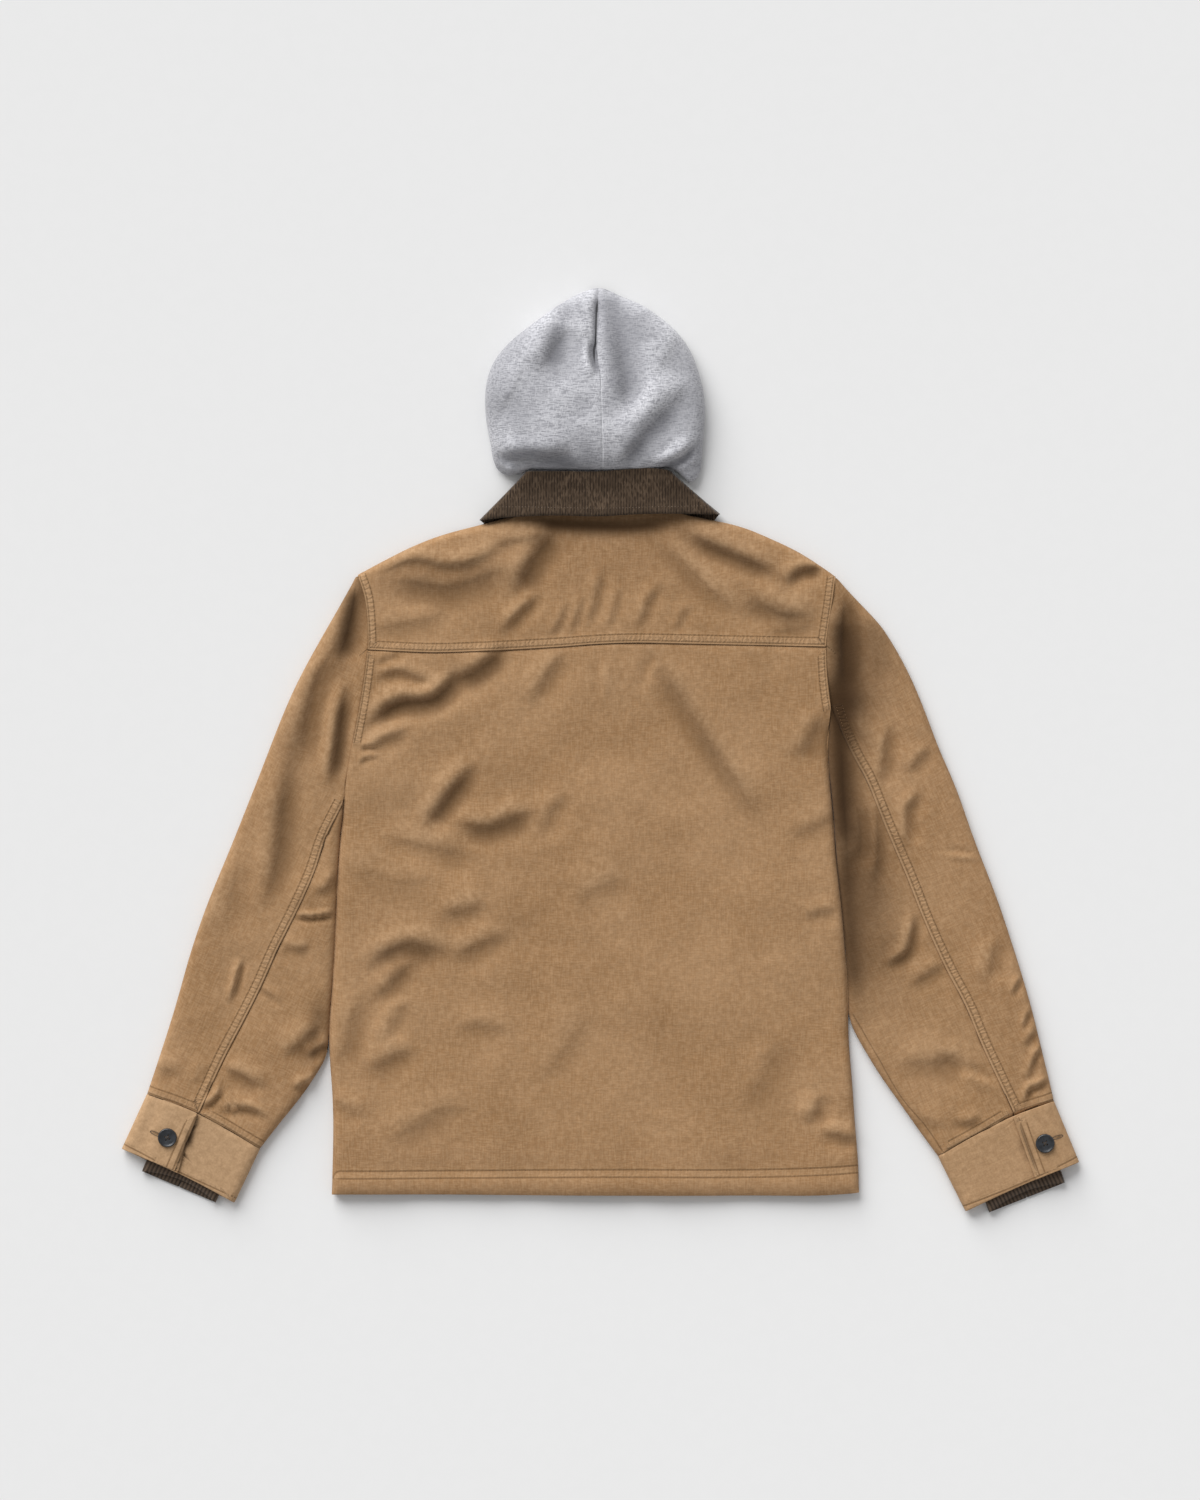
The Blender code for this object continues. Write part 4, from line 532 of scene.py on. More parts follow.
def mark_seams(piece, node, points):
    """Stores how far each point is from the nearest seam, and where between its two rows of stitches: 0 on
    the first and 1 on the second. Returns how far the seams raise each point, and pull it aside."""
    xy = points[:, :2]
    seam_mm, row_at = np.full(len(xy), NO_SEAM), np.full(len(xy), NO_ROW)
    row_run, rungs, relief = np.zeros((3, len(xy)))
    pull = np.zeros((len(xy), 2))
    sewn = {item.seam: item for item in SEWING if node in item.carried_by}
    for name, corners in SEAMS.items():
        line = path(corners)
        close = beside(line, xy, SEAM_REACH)
        item = sewn.get(name)
        if not close.any() or (item is None and name in EDGES):
            continue
        far, side, run = np.full(len(xy), 1e3), np.ones(len(xy)), np.zeros(len(xy))
        way = np.zeros((len(xy), 2))
        far[close], side[close], run[close], length, way[close] = along(line, xy[close])
        if name in EDGES:
            gap = item.rows[1] - item.rows[0] if len(item.rows) > 1 else LONE_GAP
            at = (far * side * item.side - item.rows[0]) / gap
            near = (np.abs(at) < 2.2) & (far < seam_mm + 8)
            if len(item.rows) == 1:
                at = np.where(at > 0.5, NO_ROW, at)
            row_at[near], row_run[near], rungs[near] = at[near], run[near], item.rungs
            continue
        near = (run > 0.01) & (run < length - 0.01) & (far < seam_mm)
        seam_mm[near] = far[near] + LIT_SEAMS.get(name, 0.0)
        if name not in ON_WHOLE_CLOTH:
            pull[near] = way[near] * (SEAM_PULL * (1 - ease(0.8, SEAM_FLANK, far[near])))[:, None]
        dips = near if item is None else near & (side != item.side)
        relief[dips] = -DIP * (1 - ease(0.5, SEAM_FLANK, far[dips]))
        if item is None:
            row_at[near & (far < BARE_REACH)] = NO_ROW
            continue
        first, second = item.rows
        rises = near & (side == item.side) & (far < second + ROW_REACH)
        row_at[rises] = ((far - first) / (second - first))[rises]
        row_run[rises], rungs[rises] = run[rises], item.rungs
        relief[rises] = LIP * (1 - ease(second - 0.5, second + 2.5, far[rises]))
    keep(piece, seam_mm=seam_mm, row_at=row_at, row_run=row_run, rungs=rungs)
    return relief, pull


# The under sleeves that reach into the narrow corner of an armhole: from which y, and to which point.
ARMPITS = {"sleeve_right_under": (-5, (239.5, 52)), "sleeve_left_under": (-100, (-268.3, -52))}


def reach_into(points, low, apex):
    """Draws the top of an under sleeve up into the narrow corner of the armhole."""
    top = points[:, 1].max()
    t = np.clip((points[:, 1] - low) / (top - low), 0, 1)
    points[:, 1] += (apex[1] - top) * t
    points[:, 0] += (apex[0] - points[:, 0]) * 0.85 * ease(0.15, 1, t)


# How far the foot of the hood's dome is drawn down over its neck, at places from left to right.
HOOD_FOOT_AT = (-110, -95, -72, 40, 56, 74, 80, 93, 106)
HOOD_FOOT_DROP = (13, 12, 5, 5, 3, 3, 6, 20, 21)
HOOD_FOOT, HOOD_WAIST = 298.6, 338     # from the first to the second the drop fades out
HOOD_MIDDLE = -2                       # x of the centre seam
CROWN_IN, CROWN_DOWN = 5.5, 7.0        # how far the crown's flat end is drawn in beside its tip, and closed


def settle_hood(points):
    """Lets the hood's dome down onto the top of the collar, and draws its crown to a closed point."""
    aside = np.abs(points[:, 0] - HOOD_MIDDLE)
    outside = np.maximum(ease(13, 17, points[:, 2]), ease(66, 78, aside))
    drop = np.interp(points[:, 0], HOOD_FOOT_AT, HOOD_FOOT_DROP)
    points[:, 1] -= drop * outside * (1 - ease(HOOD_FOOT, HOOD_WAIST, points[:, 1]))
    tip = ease(470, 484, points[:, 1]) * (1 - ease(9, 20, aside))
    points[:, 2] -= CROWN_DOWN * tip * ease(6.5, 9, points[:, 2])
    points[:, 1] -= CROWN_IN * ease(2, 22, aside) * ease(462, 485, points[:, 1])


COLLAR_LIFT, COLLAR_LIFT_MIDDLE = 2.5, 4.0     # all along the loose edge, and how much more in its middle


def lift_collar(points):
    """Stands the collar's loose edge up off the yoke, as stiff corduroy does."""
    middle = 1 - ease(60, 112, np.abs(points[:, 0]))
    upper = ease(10.5, 11.5, points[:, 2])
    loose = upper * (1 - ease(246, 272, points[:, 1]))
    points[:, 2] += (COLLAR_LIFT + COLLAR_LIFT_MIDDLE * middle) * loose


# The folds and hollows of each kind of piece.
DRAWN = {
    "body": (BODY_CREASES, BODY_HOLLOWS),
    "sleeve": (SLEEVE_CREASES, SLEEVE_HOLLOWS),
    "cuff": ((), CUFF_HOLLOWS),
    "collar": (COLLAR_CREASES, ()),
    "hood": (HOOD_CREASES, HOOD_HOLLOWS),
    "": ((), ()),
}


def dress(item, depth):
    """Makes one piece of cloth from its solid: softened, folded, marked for its seams and finished."""
    piece = copy_of(item.node)
    soften(piece, item.levels)
    points = points_of(piece)
    if item.node in ARMPITS:
        reach_into(points, *ARMPITS[item.node])
    if item.folds == "hood":
        settle_hood(points)
    if item.folds == "collar":
        lift_collar(points)
    xy = points[:, :2]
    creases, hollows = DRAWN[item.folds]
    folds = fold_heights(creases, xy) * depth
    slack = item.waves * sum(height * waves(xy, size, seed) for size, height, seed in SLACK)
    sunk, shade = hollow_depths(hollows, xy)
    relief, pull = mark_seams(piece, item.node, points)
    moved = folds + slack - sunk
    moved = np.where(moved < 0, -DEEPEST * np.tanh(-moved / DEEPEST), moved) + relief
    free = ease(STILL_BELOW, FREE_ABOVE, points[:, 2])
    lifted = points[:, 2] + free * moved
    floor = STILL_BELOW * ease(0, 0.6, free)
    points[:, :2] += pull
    points[:, 2] = np.where(free > 0, np.maximum(lifted, np.minimum(floor, points[:, 2])), points[:, 2])
    # Keeps the fold heights, the hollows' painted shade and the paleness for the materials to read.
    keep(piece, fold=np.clip((folds + 0.5 * slack) / FULL_WEAR_AND_SHADE, -1, 1), hollow=shade,
         pale=np.full(len(points), item.pale))
    lay_grain(piece, points, item.grain)
    move_to(piece, points)
    piece.data.materials.append(made(FINISHES[item.slot]))
    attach(piece, "root")
    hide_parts(item.node)


def linear(hex_colour):
    """Turns an sRGB hex colour to the linear values that a shader takes."""
    channels = [int(hex_colour[i:i + 2], 16) / 255 for i in (1, 3, 5)]
    return [c / 12.92 if c <= 0.04045 else ((c + 0.055) / 1.055) ** 2.4 for c in channels] + [1.0]


# How each kind of node is used here: the sockets that its values fill in order, what it gives, and its
# settings. A Math node multiplies unless it is told otherwise.
NODES = {
    "Math": ((0, 1, 2), 0, {"operation": "MULTIPLY"}),
    "MapRange": ((0, 1, 2, 3, 4), 0, {"interpolation_type": "SMOOTHSTEP"}),
    "Mix": ((0, 6, 7), 2, {"data_type": "RGBA"}),
    "Mapping": (("Vector", "Scale", "Rotation", "Location"), 0, {}),
    "TexNoise": (("Vector", "Scale", "Detail", "Roughness"), "Fac", {}),
    "TexCoord": ((), "Object", {}),
    "UVMap": ((), 0, {"uv_map": "cloth"}),
    "SeparateXYZ": ((0,), 0, {}),
    "Attribute": ((), "Fac", {}),
    "Bump": (("Height", "Distance", "Strength"), 0, {}),
    "BsdfPrincipled": ((), 0, {}),
    "OutputMaterial": (("Surface",), None, {}),
}


def add(tree, kind, *values, given=(), **settings):
    """Adds a node with its settings, fills its sockets with values or links, and returns what it gives."""
    sockets, output, usual = NODES[kind]
    node = tree.nodes.new("ShaderNode" + kind)
    for name, value in {**usual, **settings}.items():
        setattr(node, name, value)
    for socket, value in [*zip(sockets, values), *dict(given).items()]:
        if isinstance(value, bpy.types.NodeSocket):
            tree.links.new(value, node.inputs[socket])
        else:
            node.inputs[socket].default_value = value
    return None if output is None else node.outputs[output]


def begin(name):
    """Starts a material, and returns it with what adds a node to it."""
    material = bpy.data.materials.new(name)
    material.use_nodes = True
    material.node_tree.nodes.clear()
    return material, partial(add, material.node_tree)


def dye(node, ground, *layers):
    """Lays colours over a ground colour, each by its share, and returns what they come to."""
    colour = linear(ground)
    for share, over in layers:
        colour = node("Mix", share, colour, linear(over))
    return colour


def end(node, colour, shader, *reliefs):
    """Ends a material in its shader, with its colour and its reliefs, each a pattern and its height in
    millimetres."""
    height = 0.0
    for pattern, high in reliefs:
        height = node("Math", pattern, high, height, operation="MULTIPLY_ADD")
    if reliefs:
        shader["Normal"] = node("Bump", height, MM, 1.0)
    node("OutputMaterial", node("BsdfPrincipled", given={"Base Color": colour, **shader}))


def threads(node, width, length, seed, upright=True):
    """Draws noise out along the warp or the weft, as slubs of a thread's width and length in millimetres."""
    fine, drawn = 1 / (width * MM), 1 / (length * MM)
    scale = (fine, drawn, 1) if upright else (drawn, fine, 1)
    return node("TexNoise", node("Mapping", node("UVMap"), scale, (0, 0, 0), (seed, seed, 0)), 1.0, 2.0)


def canvas():
    """Cotton duck, dyed as a garment and washed: dry and matt, slubbed both ways, with paler worn ridges and
    painted shade in its troughs, hollows, sunk rows and seams.

    Its threads are 0.5 mm apart, which is too fine to show, so the slubs are drawn 1.6 mm wide.
    """
    look = bpy.context.scene.jacket_looks
    material, node = begin("cotton_duck_washed")
    fold, hollow, pale, seam, row, run, rungs = (
        node("Attribute", attribute_name=name)
        for name in ("fold", "hollow", "pale", "seam_mm", "row_at", "row_run", "rungs"))
    solid = node("TexCoord")
    patches = node("TexNoise", solid, 11.0, 4.0, 0.55)
    mottle = node("TexNoise", solid, 160.0, 3.0)
    grit = node("TexNoise", solid, 480.0, 2.0)
    slubs = node("Math", threads(node, 1.6, 14, 0), threads(node, 1.5, 9, 5, upright=False), operation="ADD")
    weave = node("Math", slubs, 0.5)
    worn = node("Math", node("MapRange", fold, 0.05, 0.8), node("MapRange", mottle, 0.3, 0.7, 0.15, 0.45))

    # Between the twin rows the cloth is gathered into small rungs, and each row is sunk. The rungs' crests
    # are paler as wear, and their troughs and the sunk rows are darkened with painted shade.
    between = node("Math", node("MapRange", row, -0.25, 0.05), node("MapRange", row, 0.95, 1.25, 1.0, 0.0))
    gathered = node("Math", between, rungs)
    shaken = node("Math", mottle, 13.0, node("Math", run, 1.35), operation="MULTIPLY_ADD")
    rung = node("Math", node("Math", shaken, operation="SINE"), gathered)
    from_first = node("Math", row, operation="ABSOLUTE")
    from_second = node("Math", node("Math", row, 1.0, operation="SUBTRACT"), operation="ABSOLUTE")
    sunk = node("MapRange", node("Math", from_first, from_second, operation="MINIMUM"), 0.0, 0.22, 1.0, 0.0)

    # The seam is a dark line of painted shade, and the edge that is carried over it is worn.
    line = node("MapRange", seam, 0.2, 1.1, 1.0, 0.0)
    edge = node("Math", node("MapRange", seam, 0.6, 1.4), node("MapRange", seam, 2.2, 5.0, 1.0, 0.0))
    carried = node("Math", edge, node("MapRange", row, 1.2, 1.6, 0.5, 0.0))

    colour = dye(
        node, look.canvas_shadow,
        (node("MapRange", patches, 0.35, 0.68), look.canvas),
        (worn, look.canvas_worn),
        (pale, look.canvas_worn),
        (node("MapRange", weave, 0.4, 0.6, 0.0, 0.42), look.canvas_worn),
        (node("MapRange", grit, 0.38, 0.6, 0.14, 0.0), look.canvas_deep_dye_and_shade),
        (node("MapRange", mottle, 0.3, 0.7, 0.24, 0.0), look.canvas_deep_dye_and_shade),
        # Painted shade in the folds' troughs.
        (node("MapRange", fold, -0.9, -0.05, 0.45, 0.0), look.canvas_deep_dye_and_shade),
        (carried, look.canvas_worn),
        (node("MapRange", rung, 0.0, 0.9, 0.0, 0.22), look.canvas_worn),
        (node("MapRange", rung, -0.9, 0.0, 0.24, 0.0), look.canvas_deep_dye_and_shade),
        (node("Math", gathered, 0.2), look.canvas_worn),
        (node("Math", sunk, 0.72), look.canvas_deep_dye_and_shade),
        # Painted shade in the hollows.
        (hollow, look.canvas_hollow),
        (node("Math", line, 0.45), look.seam_shadow))
    dry = {"Roughness": 0.86, "IOR": 1.45, "Specular IOR Level": 0.12, "Sheen Weight": 0.06,
           "Sheen Roughness": 0.5}
    end(node, colour, dry, (weave, 0.32), (rung, 0.2), (sunk, -0.35), (line, -0.3), (mottle, 0.3))
    return material


def corduroy():
    """Cotton needlecord: soft upright pile in fine wales, dark between them, partly the ground cloth and
    partly painted shade, and dusty in random patches.

    Its wales are about 2.3 mm apart, and are drawn 2.9 mm apart to show.
    """
    look = bpy.context.scene.jacket_looks
    material, node = begin("needlecord")
    solid = node("TexCoord")
    pile = node("TexNoise", node("Mapping", solid, (620, 170, 400)), 1.0, 3.0)
    patches = node("TexNoise", solid, 45.0, 4.0)
    across = node("Math", node("SeparateXYZ", node("UVMap")), 2 * math.pi / look.wale_pitch)
    turned = node("Math", patches, 1.2, across, operation="MULTIPLY_ADD")
    wale = node("Math", node("Math", turned, operation="SINE"), 0.5, 0.5, operation="MULTIPLY_ADD")
    dusty = node("Math", node("MapRange", patches, 0.3, 0.75, 0.25, 1.0),
                 node("MapRange", pile, 0.42, 0.62, 0.0, 0.8))
    colour = dye(node, look.corduroy_deep,
                 (node("MapRange", wale, 0.0, 0.9, 0.1, 1.0), look.corduroy),
                 (dusty, look.corduroy_worn))
    velvety = {"Roughness": 0.92, "Specular IOR Level": 0.2, "Sheen Weight": 0.25, "Sheen Roughness": 0.4}
    end(node, colour, velvety, (wale, 0.32), (pile, 0.35))
    return material


def fleece():
    """Heather sweatshirt knit: pale and dark grey fibres spun together, soft, matt and a little fuzzy, with
    painted shade in its troughs, hollows and open seam.
    """
    look = bpy.context.scene.jacket_looks
    material, node = begin("heather_sweatshirt_knit")
    fold, hollow, seam = (node("Attribute", attribute_name=name) for name in ("fold", "hollow", "seam_mm"))
    solid = node("TexCoord")
    flecks = node("TexNoise", node("Mapping", solid, (130, 900, 400), (0, 0, 0.2)), 1.0, 2.0)
    upright = node("TexNoise", node("Mapping", solid, (700, 260, 400), (0, 0, -0.3)), 1.0, 1.0)
    patches = node("TexNoise", solid, 28.0, 4.0)
    fuzz = node("TexNoise", solid, 700.0, 2.0)
    closed = node("Math", node("MapRange", seam, 0.3, 1.3, 0.7, 0.0),
                  node("MapRange", hollow, 0.1, 0.3, 1.0, 0.0))
    colour = dye(
        node, look.fleece_dark_fibres_and_shade,
        (node("MapRange", flecks, 0.36, 0.58), look.fleece),
        (node("MapRange", upright, 0.5, 0.66, 0.0, 0.5), look.fleece_pale),
        (node("MapRange", patches, 0.3, 0.7, 0.18, 0.0), look.fleece_dark_fibres_and_shade),
        # Painted shade in the folds' troughs, the hollows and the open seam.
        (node("MapRange", fold, -0.9, 0.0, 0.4, 0.0), look.fleece_dark_fibres_and_shade),
        (node("MapRange", hollow, 0.0, 0.85, 0.0, 0.7), look.fleece_shade),
        (node("MapRange", hollow, 0.8, 0.95), look.fleece_open_seam_shade),
        (closed, look.fleece_pale))
    fuzzy = {"Roughness": 0.95, "Specular IOR Level": 0.2, "Sheen Weight": 0.3, "Sheen Roughness": 0.6}
    end(node, colour, fuzzy, (flecks, 0.3), (fuzz, 0.25))
    return material


def rib():
    """Wool-blend rib knit: dark and soft, with fine loops on every rib, which also stands in the mesh, and
    painted shade between the ribs.
    """
    look = bpy.context.scene.jacket_looks
    material, node = begin("rib_knit")
    loops = threads(node, 1.2, 1.8, 2, upright=False)
    across = node("Math", node("SeparateXYZ", node("UVMap")), 2 * math.pi / look.rib_pitch)
    ribs = node("Math", across, operation="SINE")
    colour = dye(node, look.rib_painted_shade,
                 (node("MapRange", ribs, -0.7, 0.6), look.rib),
                 (node("MapRange", loops, 0.4, 0.7, 0.0, 0.35), look.corduroy_worn))
    end(node, colour, {"Roughness": 0.93, "Specular IOR Level": 0.2, "Sheen Weight": 0.25},
        (loops, 0.4), (ribs, 0.25))
    return material


def thread_of(name, deep, pale):
    """Core-spun cotton thread: its colour varies at random between a deep and a pale tone."""
    material, node = begin(name)
    twist = node("TexNoise", node("TexCoord"), 900.0, 1.0)
    colour = dye(node, deep, (node("MapRange", twist, 0.35, 0.65), pale))
    end(node, colour, {"Roughness": 0.7, "Sheen Weight": 0.2})
    return material


def thread():
    """The thread of the canvas's rows, in the cloth's own tone."""
    look = bpy.context.scene.jacket_looks
    return thread_of("cotton_thread", look.seam_shadow, look.thread)


def collar_thread():
    """The collar's thread, a little paler than the pile that it lies in, as shown."""
    look = bpy.context.scene.jacket_looks
    return thread_of("cotton_thread_collar", look.corduroy_worn, look.thread_collar)


def dark_thread():
    """The thread of the buttons and buttonholes, nearly black."""
    look = bpy.context.scene.jacket_looks
    return thread_of("cotton_thread_dark", look.corduroy_deep, look.corduroy)


def button_plastic():
    """Moulded urea with a tumbled polish: near black with a blue cast, and cloudy under a soft gloss."""
    look = bpy.context.scene.jacket_looks
    material, node = begin("moulded_urea_polished")
    cloud = node("TexNoise", node("TexCoord"), 180.0, 3.0)
    colour = dye(node, look.button, (node("MapRange", cloud, 0.35, 0.65), look.button_cloud))
    end(node, colour, {"Roughness": node("MapRange", cloud, 0.3, 0.7, 0.24, 0.38), "IOR": 1.5,
                       "Coat Weight": 0.12, "Coat Roughness": 0.15})
    return material


def zip_metal():
    """Antiqued brass of a coat zip: dark antiquing and brighter rubbed brass in random patches."""
    look = bpy.context.scene.jacket_looks
    material, node = begin("antique_brass")
    rubbed = node("TexNoise", node("TexCoord"), 260.0, 4.0)
    colour = dye(node, look.brass_deep, (node("MapRange", rubbed, 0.35, 0.7), look.brass))
    end(node, colour, {"Roughness": node("MapRange", rubbed, 0.3, 0.7, 0.3, 0.52), "Metallic": 1.0})
    return material


def studio_paper():
    """Matt background paper: pale grey, even, with a trace of tooth."""
    look = bpy.context.scene.jacket_looks
    material, node = begin("studio_paper")
    tooth = node("TexNoise", node("TexCoord"), 60.0, 2.0)
    colour = dye(node, look.paper, (node("MapRange", tooth, 0.3, 0.7, 0.0, 0.02), look.paper_tooth))
    end(node, colour, {"Roughness": 0.95, "Specular IOR Level": 0.1})
    return material


FINISHES = {"canvas": canvas, "corduroy": corduroy, "fleece": fleece, "rib_knit": rib}    # of each slot
MADE = {}


def made(finish):
    """Gives the material that a function makes, and makes it only once."""
    if finish not in MADE:
        MADE[finish] = finish()
    return MADE[finish]


def stitch_mesh(length, thick):
    """Models one stitch: a short length of thread that dips into the cloth at both ends, along +X."""
    bpy.ops.object.select_all(action="DESELECT")
    bpy.ops.mesh.primitive_uv_sphere_add(segments=6, ring_count=4, radius=0.5)
    piece = bpy.context.object
    bpy.ops.object.mode_set(mode="EDIT")
    bpy.ops.mesh.select_all(action="SELECT")
    bpy.ops.transform.rotate(value=math.pi / 2, orient_axis="Y", center_override=(0, 0, 0))
    bpy.ops.transform.resize(value=(length, thick, thick), center_override=(0, 0, 0))
    bpy.ops.object.mode_set(mode="OBJECT")
    mesh = piece.data
    for vert in mesh.vertices:
        vert.co.z -= 0.9 * thick * (vert.co.x / (length / 2)) ** 2
    bpy.data.objects.remove(piece)
    return mesh


def join_copies(name, mesh, places, finish):
    """Copies a small mesh to each place, joins the copies and finishes them as one piece."""
    bm = bmesh.new()
    for place in places:
        start = len(bm.verts)
        bm.from_mesh(mesh)
        bm.verts.ensure_lookup_table()
        for vert in bm.verts[start:]:
            vert.co = place @ vert.co
    out = bpy.data.meshes.new(name)
    bm.to_mesh(out)
    bm.free()
    piece = bpy.data.objects.new(name, out)
    bpy.context.scene.collection.objects.link(piece)
    alone(piece)
    bpy.ops.object.shade_smooth()
    out.materials.append(made(finish))
    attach(piece, "root")


def lay_on(nodes, spots, sink=0.0):
    """Turns each spot (x, y, turn) to a place on the pieces of cloth below it, sunk into them a little."""
    points, faces = [], []
    for node in nodes:
        mesh = bpy.data.objects[node + "_cloth"].data
        start = len(points)
        points += [v.co.copy() for v in mesh.vertices]
        faces += [[start + i for i in face.vertices] for face in mesh.polygons]
    ground = BVHTree.FromPolygons(points, faces)
    places = []
    for x, y, turn in spots:
        at, normal, *_ = ground.ray_cast(Vector((x, y, 80)) * MM, Vector((0, 0, -1)))
        if at is None:
            continue
        ahead = Vector((math.cos(turn), math.sin(turn), 0))
        ahead = (ahead - normal * ahead.dot(normal)).normalized()
        place = Matrix((ahead, normal.cross(ahead), normal)).transposed().to_4x4()
        place.translation = at - normal * sink * MM
        places.append(place)
    return places


def row_spots(item, pitch):
    """Gives the place and turn of each stitch of a seam's rows."""
    line = path(SEAMS[item.seam])
    spots = []
    for gap in item.rows:
        step = np.diff(line, axis=0)
        step /= np.linalg.norm(step, axis=1)[:, None]
        out = np.vstack([step, step[-1:]])
        row = line + np.stack([-out[:, 1], out[:, 0]], axis=1) * gap * item.side
        run = np.concatenate([[0], np.cumsum(np.linalg.norm(np.diff(row, axis=0), axis=1))])
        at = np.arange(pitch, run[-1] - pitch / 2, pitch)
        x, y = np.interp(at, run, row[:, 0]), np.interp(at, run, row[:, 1])
        spots += list(zip(x, y, np.arctan2(np.gradient(y), np.gradient(x))))
    return spots


STITCH_SINK = 0.1        # the stitches of the rows lie this far down in the cloth

# The two ends of each buttonhole, the width of its sewn oval, and the bars of thread that go round it.
BUTTONHOLES = {
    "left": ((-471, -399.5), (-459, -404.5)),
    "right": ((474, -407), (485, -404)),
}
BUTTONHOLE_WIDE = 3.4
BAR_PITCH, BAR_LONG, BAR_THICK = 0.8, 1.9, 0.8


def buttonhole_spots(ends):
    """Gives the places of the bars sewn round a buttonhole, each set across its edge."""
    a, b = np.array(ends, float)
    long, wide = np.linalg.norm(b - a) / 2, BUTTONHOLE_WIDE / 2
    ahead = (b - a) / (2 * long)
    across = np.array([-ahead[1], ahead[0]])
    spots = []
    count = int(2 * math.pi * math.sqrt((long**2 + wide**2) / 2) / BAR_PITCH)
    for i in range(count):
        t = 2 * math.pi * i / count
        x, y = (a + b) / 2 + ahead * long * math.cos(t) + across * wide * math.sin(t)
        out = ahead * math.cos(t) / long + across * math.sin(t) / wide
        spots.append((x, y, math.atan2(out[1], out[0])))
    return spots


# A coat button's turned profile, from the edge of its foot: each ring is this much wider than the last, and
# this share of the button's height above it. Then its four holes and the thread through them.
PROFILE = ((1.09, 0.12), (1.02, 0.25), (0.985, 0.3), (0.955, 0.23), (0.945, 0.1), (0.93, -0.06), (0.9, -0.14),
           (0.82, -0.08), (0.5, -0.02))
FOOT = 0.9                                     # share of the button's radius
HOLE_TURN, HOLE_OUT, HOLE_RADIUS = 63, 2.5, 1.0     # degrees, then millimetres
CROSS_LONG, CROSS_THICK, CROSS_APART, CROSS_SINK = 6.4, 0.9, 0.35, 0.9


def remake_button(side, centre, radius, low, high):
    """Models a four-hole coat button: a dished face in a rounded rim."""
    bpy.ops.object.select_all(action="DESELECT")
    bpy.ops.mesh.primitive_circle_add(vertices=64, radius=radius * FOOT, fill_type="NGON",
                                      location=(*centre, low))
    button = bpy.context.object
    button.name = f"coat_button_{side}"
    bpy.ops.object.mode_set(mode="EDIT")
    bpy.ops.mesh.select_all(action="SELECT")
    bpy.ops.mesh.flip_normals()
    for wider, higher in PROFILE:
        bpy.ops.mesh.extrude_region_move(TRANSFORM_OT_translate={"value": (0, 0, (high - low) * higher)})
        bpy.ops.transform.resize(value=(wider, wider, 1))
    bpy.ops.mesh.select_all(action="SELECT")
    bpy.ops.mesh.normals_make_consistent(inside=False)
    bpy.ops.object.mode_set(mode="OBJECT")
    bpy.ops.object.transform_apply(location=True, rotation=True, scale=True)
    for i in range(4):
        turn = math.radians(HOLE_TURN + 90 * i)
        x, y = centre[0] + HOLE_OUT * MM * math.cos(turn), centre[1] + HOLE_OUT * MM * math.sin(turn)
        bpy.ops.object.select_all(action="DESELECT")
        bpy.ops.mesh.primitive_cylinder_add(vertices=20, radius=HOLE_RADIUS * MM, depth=4 * (high - low),
                                            location=(x, y, (low + high) / 2))
        drill = bpy.context.object
        apply(button, "hole", "BOOLEAN", operation="DIFFERENCE", solver="EXACT", object=drill)
        bpy.data.objects.remove(drill)
    apply(button, "eased", "BEVEL", width=0.15 * MM, segments=2, limit_method="ANGLE",
          angle_limit=math.radians(50))
    bpy.ops.object.shade_smooth_by_angle(angle=math.radians(40))
    button.data.materials.append(made(button_plastic))
    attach(button, "root")
    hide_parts(f"button_{side}")


def cross_thread(side, centre, top):
    """Models the thread that holds a button: two strands each way, crossed over its four holes."""
    places = []
    for turn in (math.radians(HOLE_TURN), math.radians(HOLE_TURN + 90)):
        for shift in (-CROSS_APART, CROSS_APART):
            across = Vector((-math.sin(turn), math.cos(turn), 0)) * shift * MM
            at = Vector((*centre, top - CROSS_SINK * MM)) + across
            places.append(Matrix.Translation(at) @ Matrix.Rotation(turn, 4, "Z"))
    strand = stitch_mesh(CROSS_LONG * MM, CROSS_THICK * MM)
    join_copies(f"button_thread_{side}", strand, places, dark_thread)


def tint(name, description, value):
    """Declares one colour of the finishes, as sRGB hex."""
    return bpy.props.StringProperty(name=name, description=description, default=value)


def metres(name, description, value):
    """Declares one length, in metres."""
    return bpy.props.FloatProperty(name=name, description=description, default=value, unit="LENGTH")


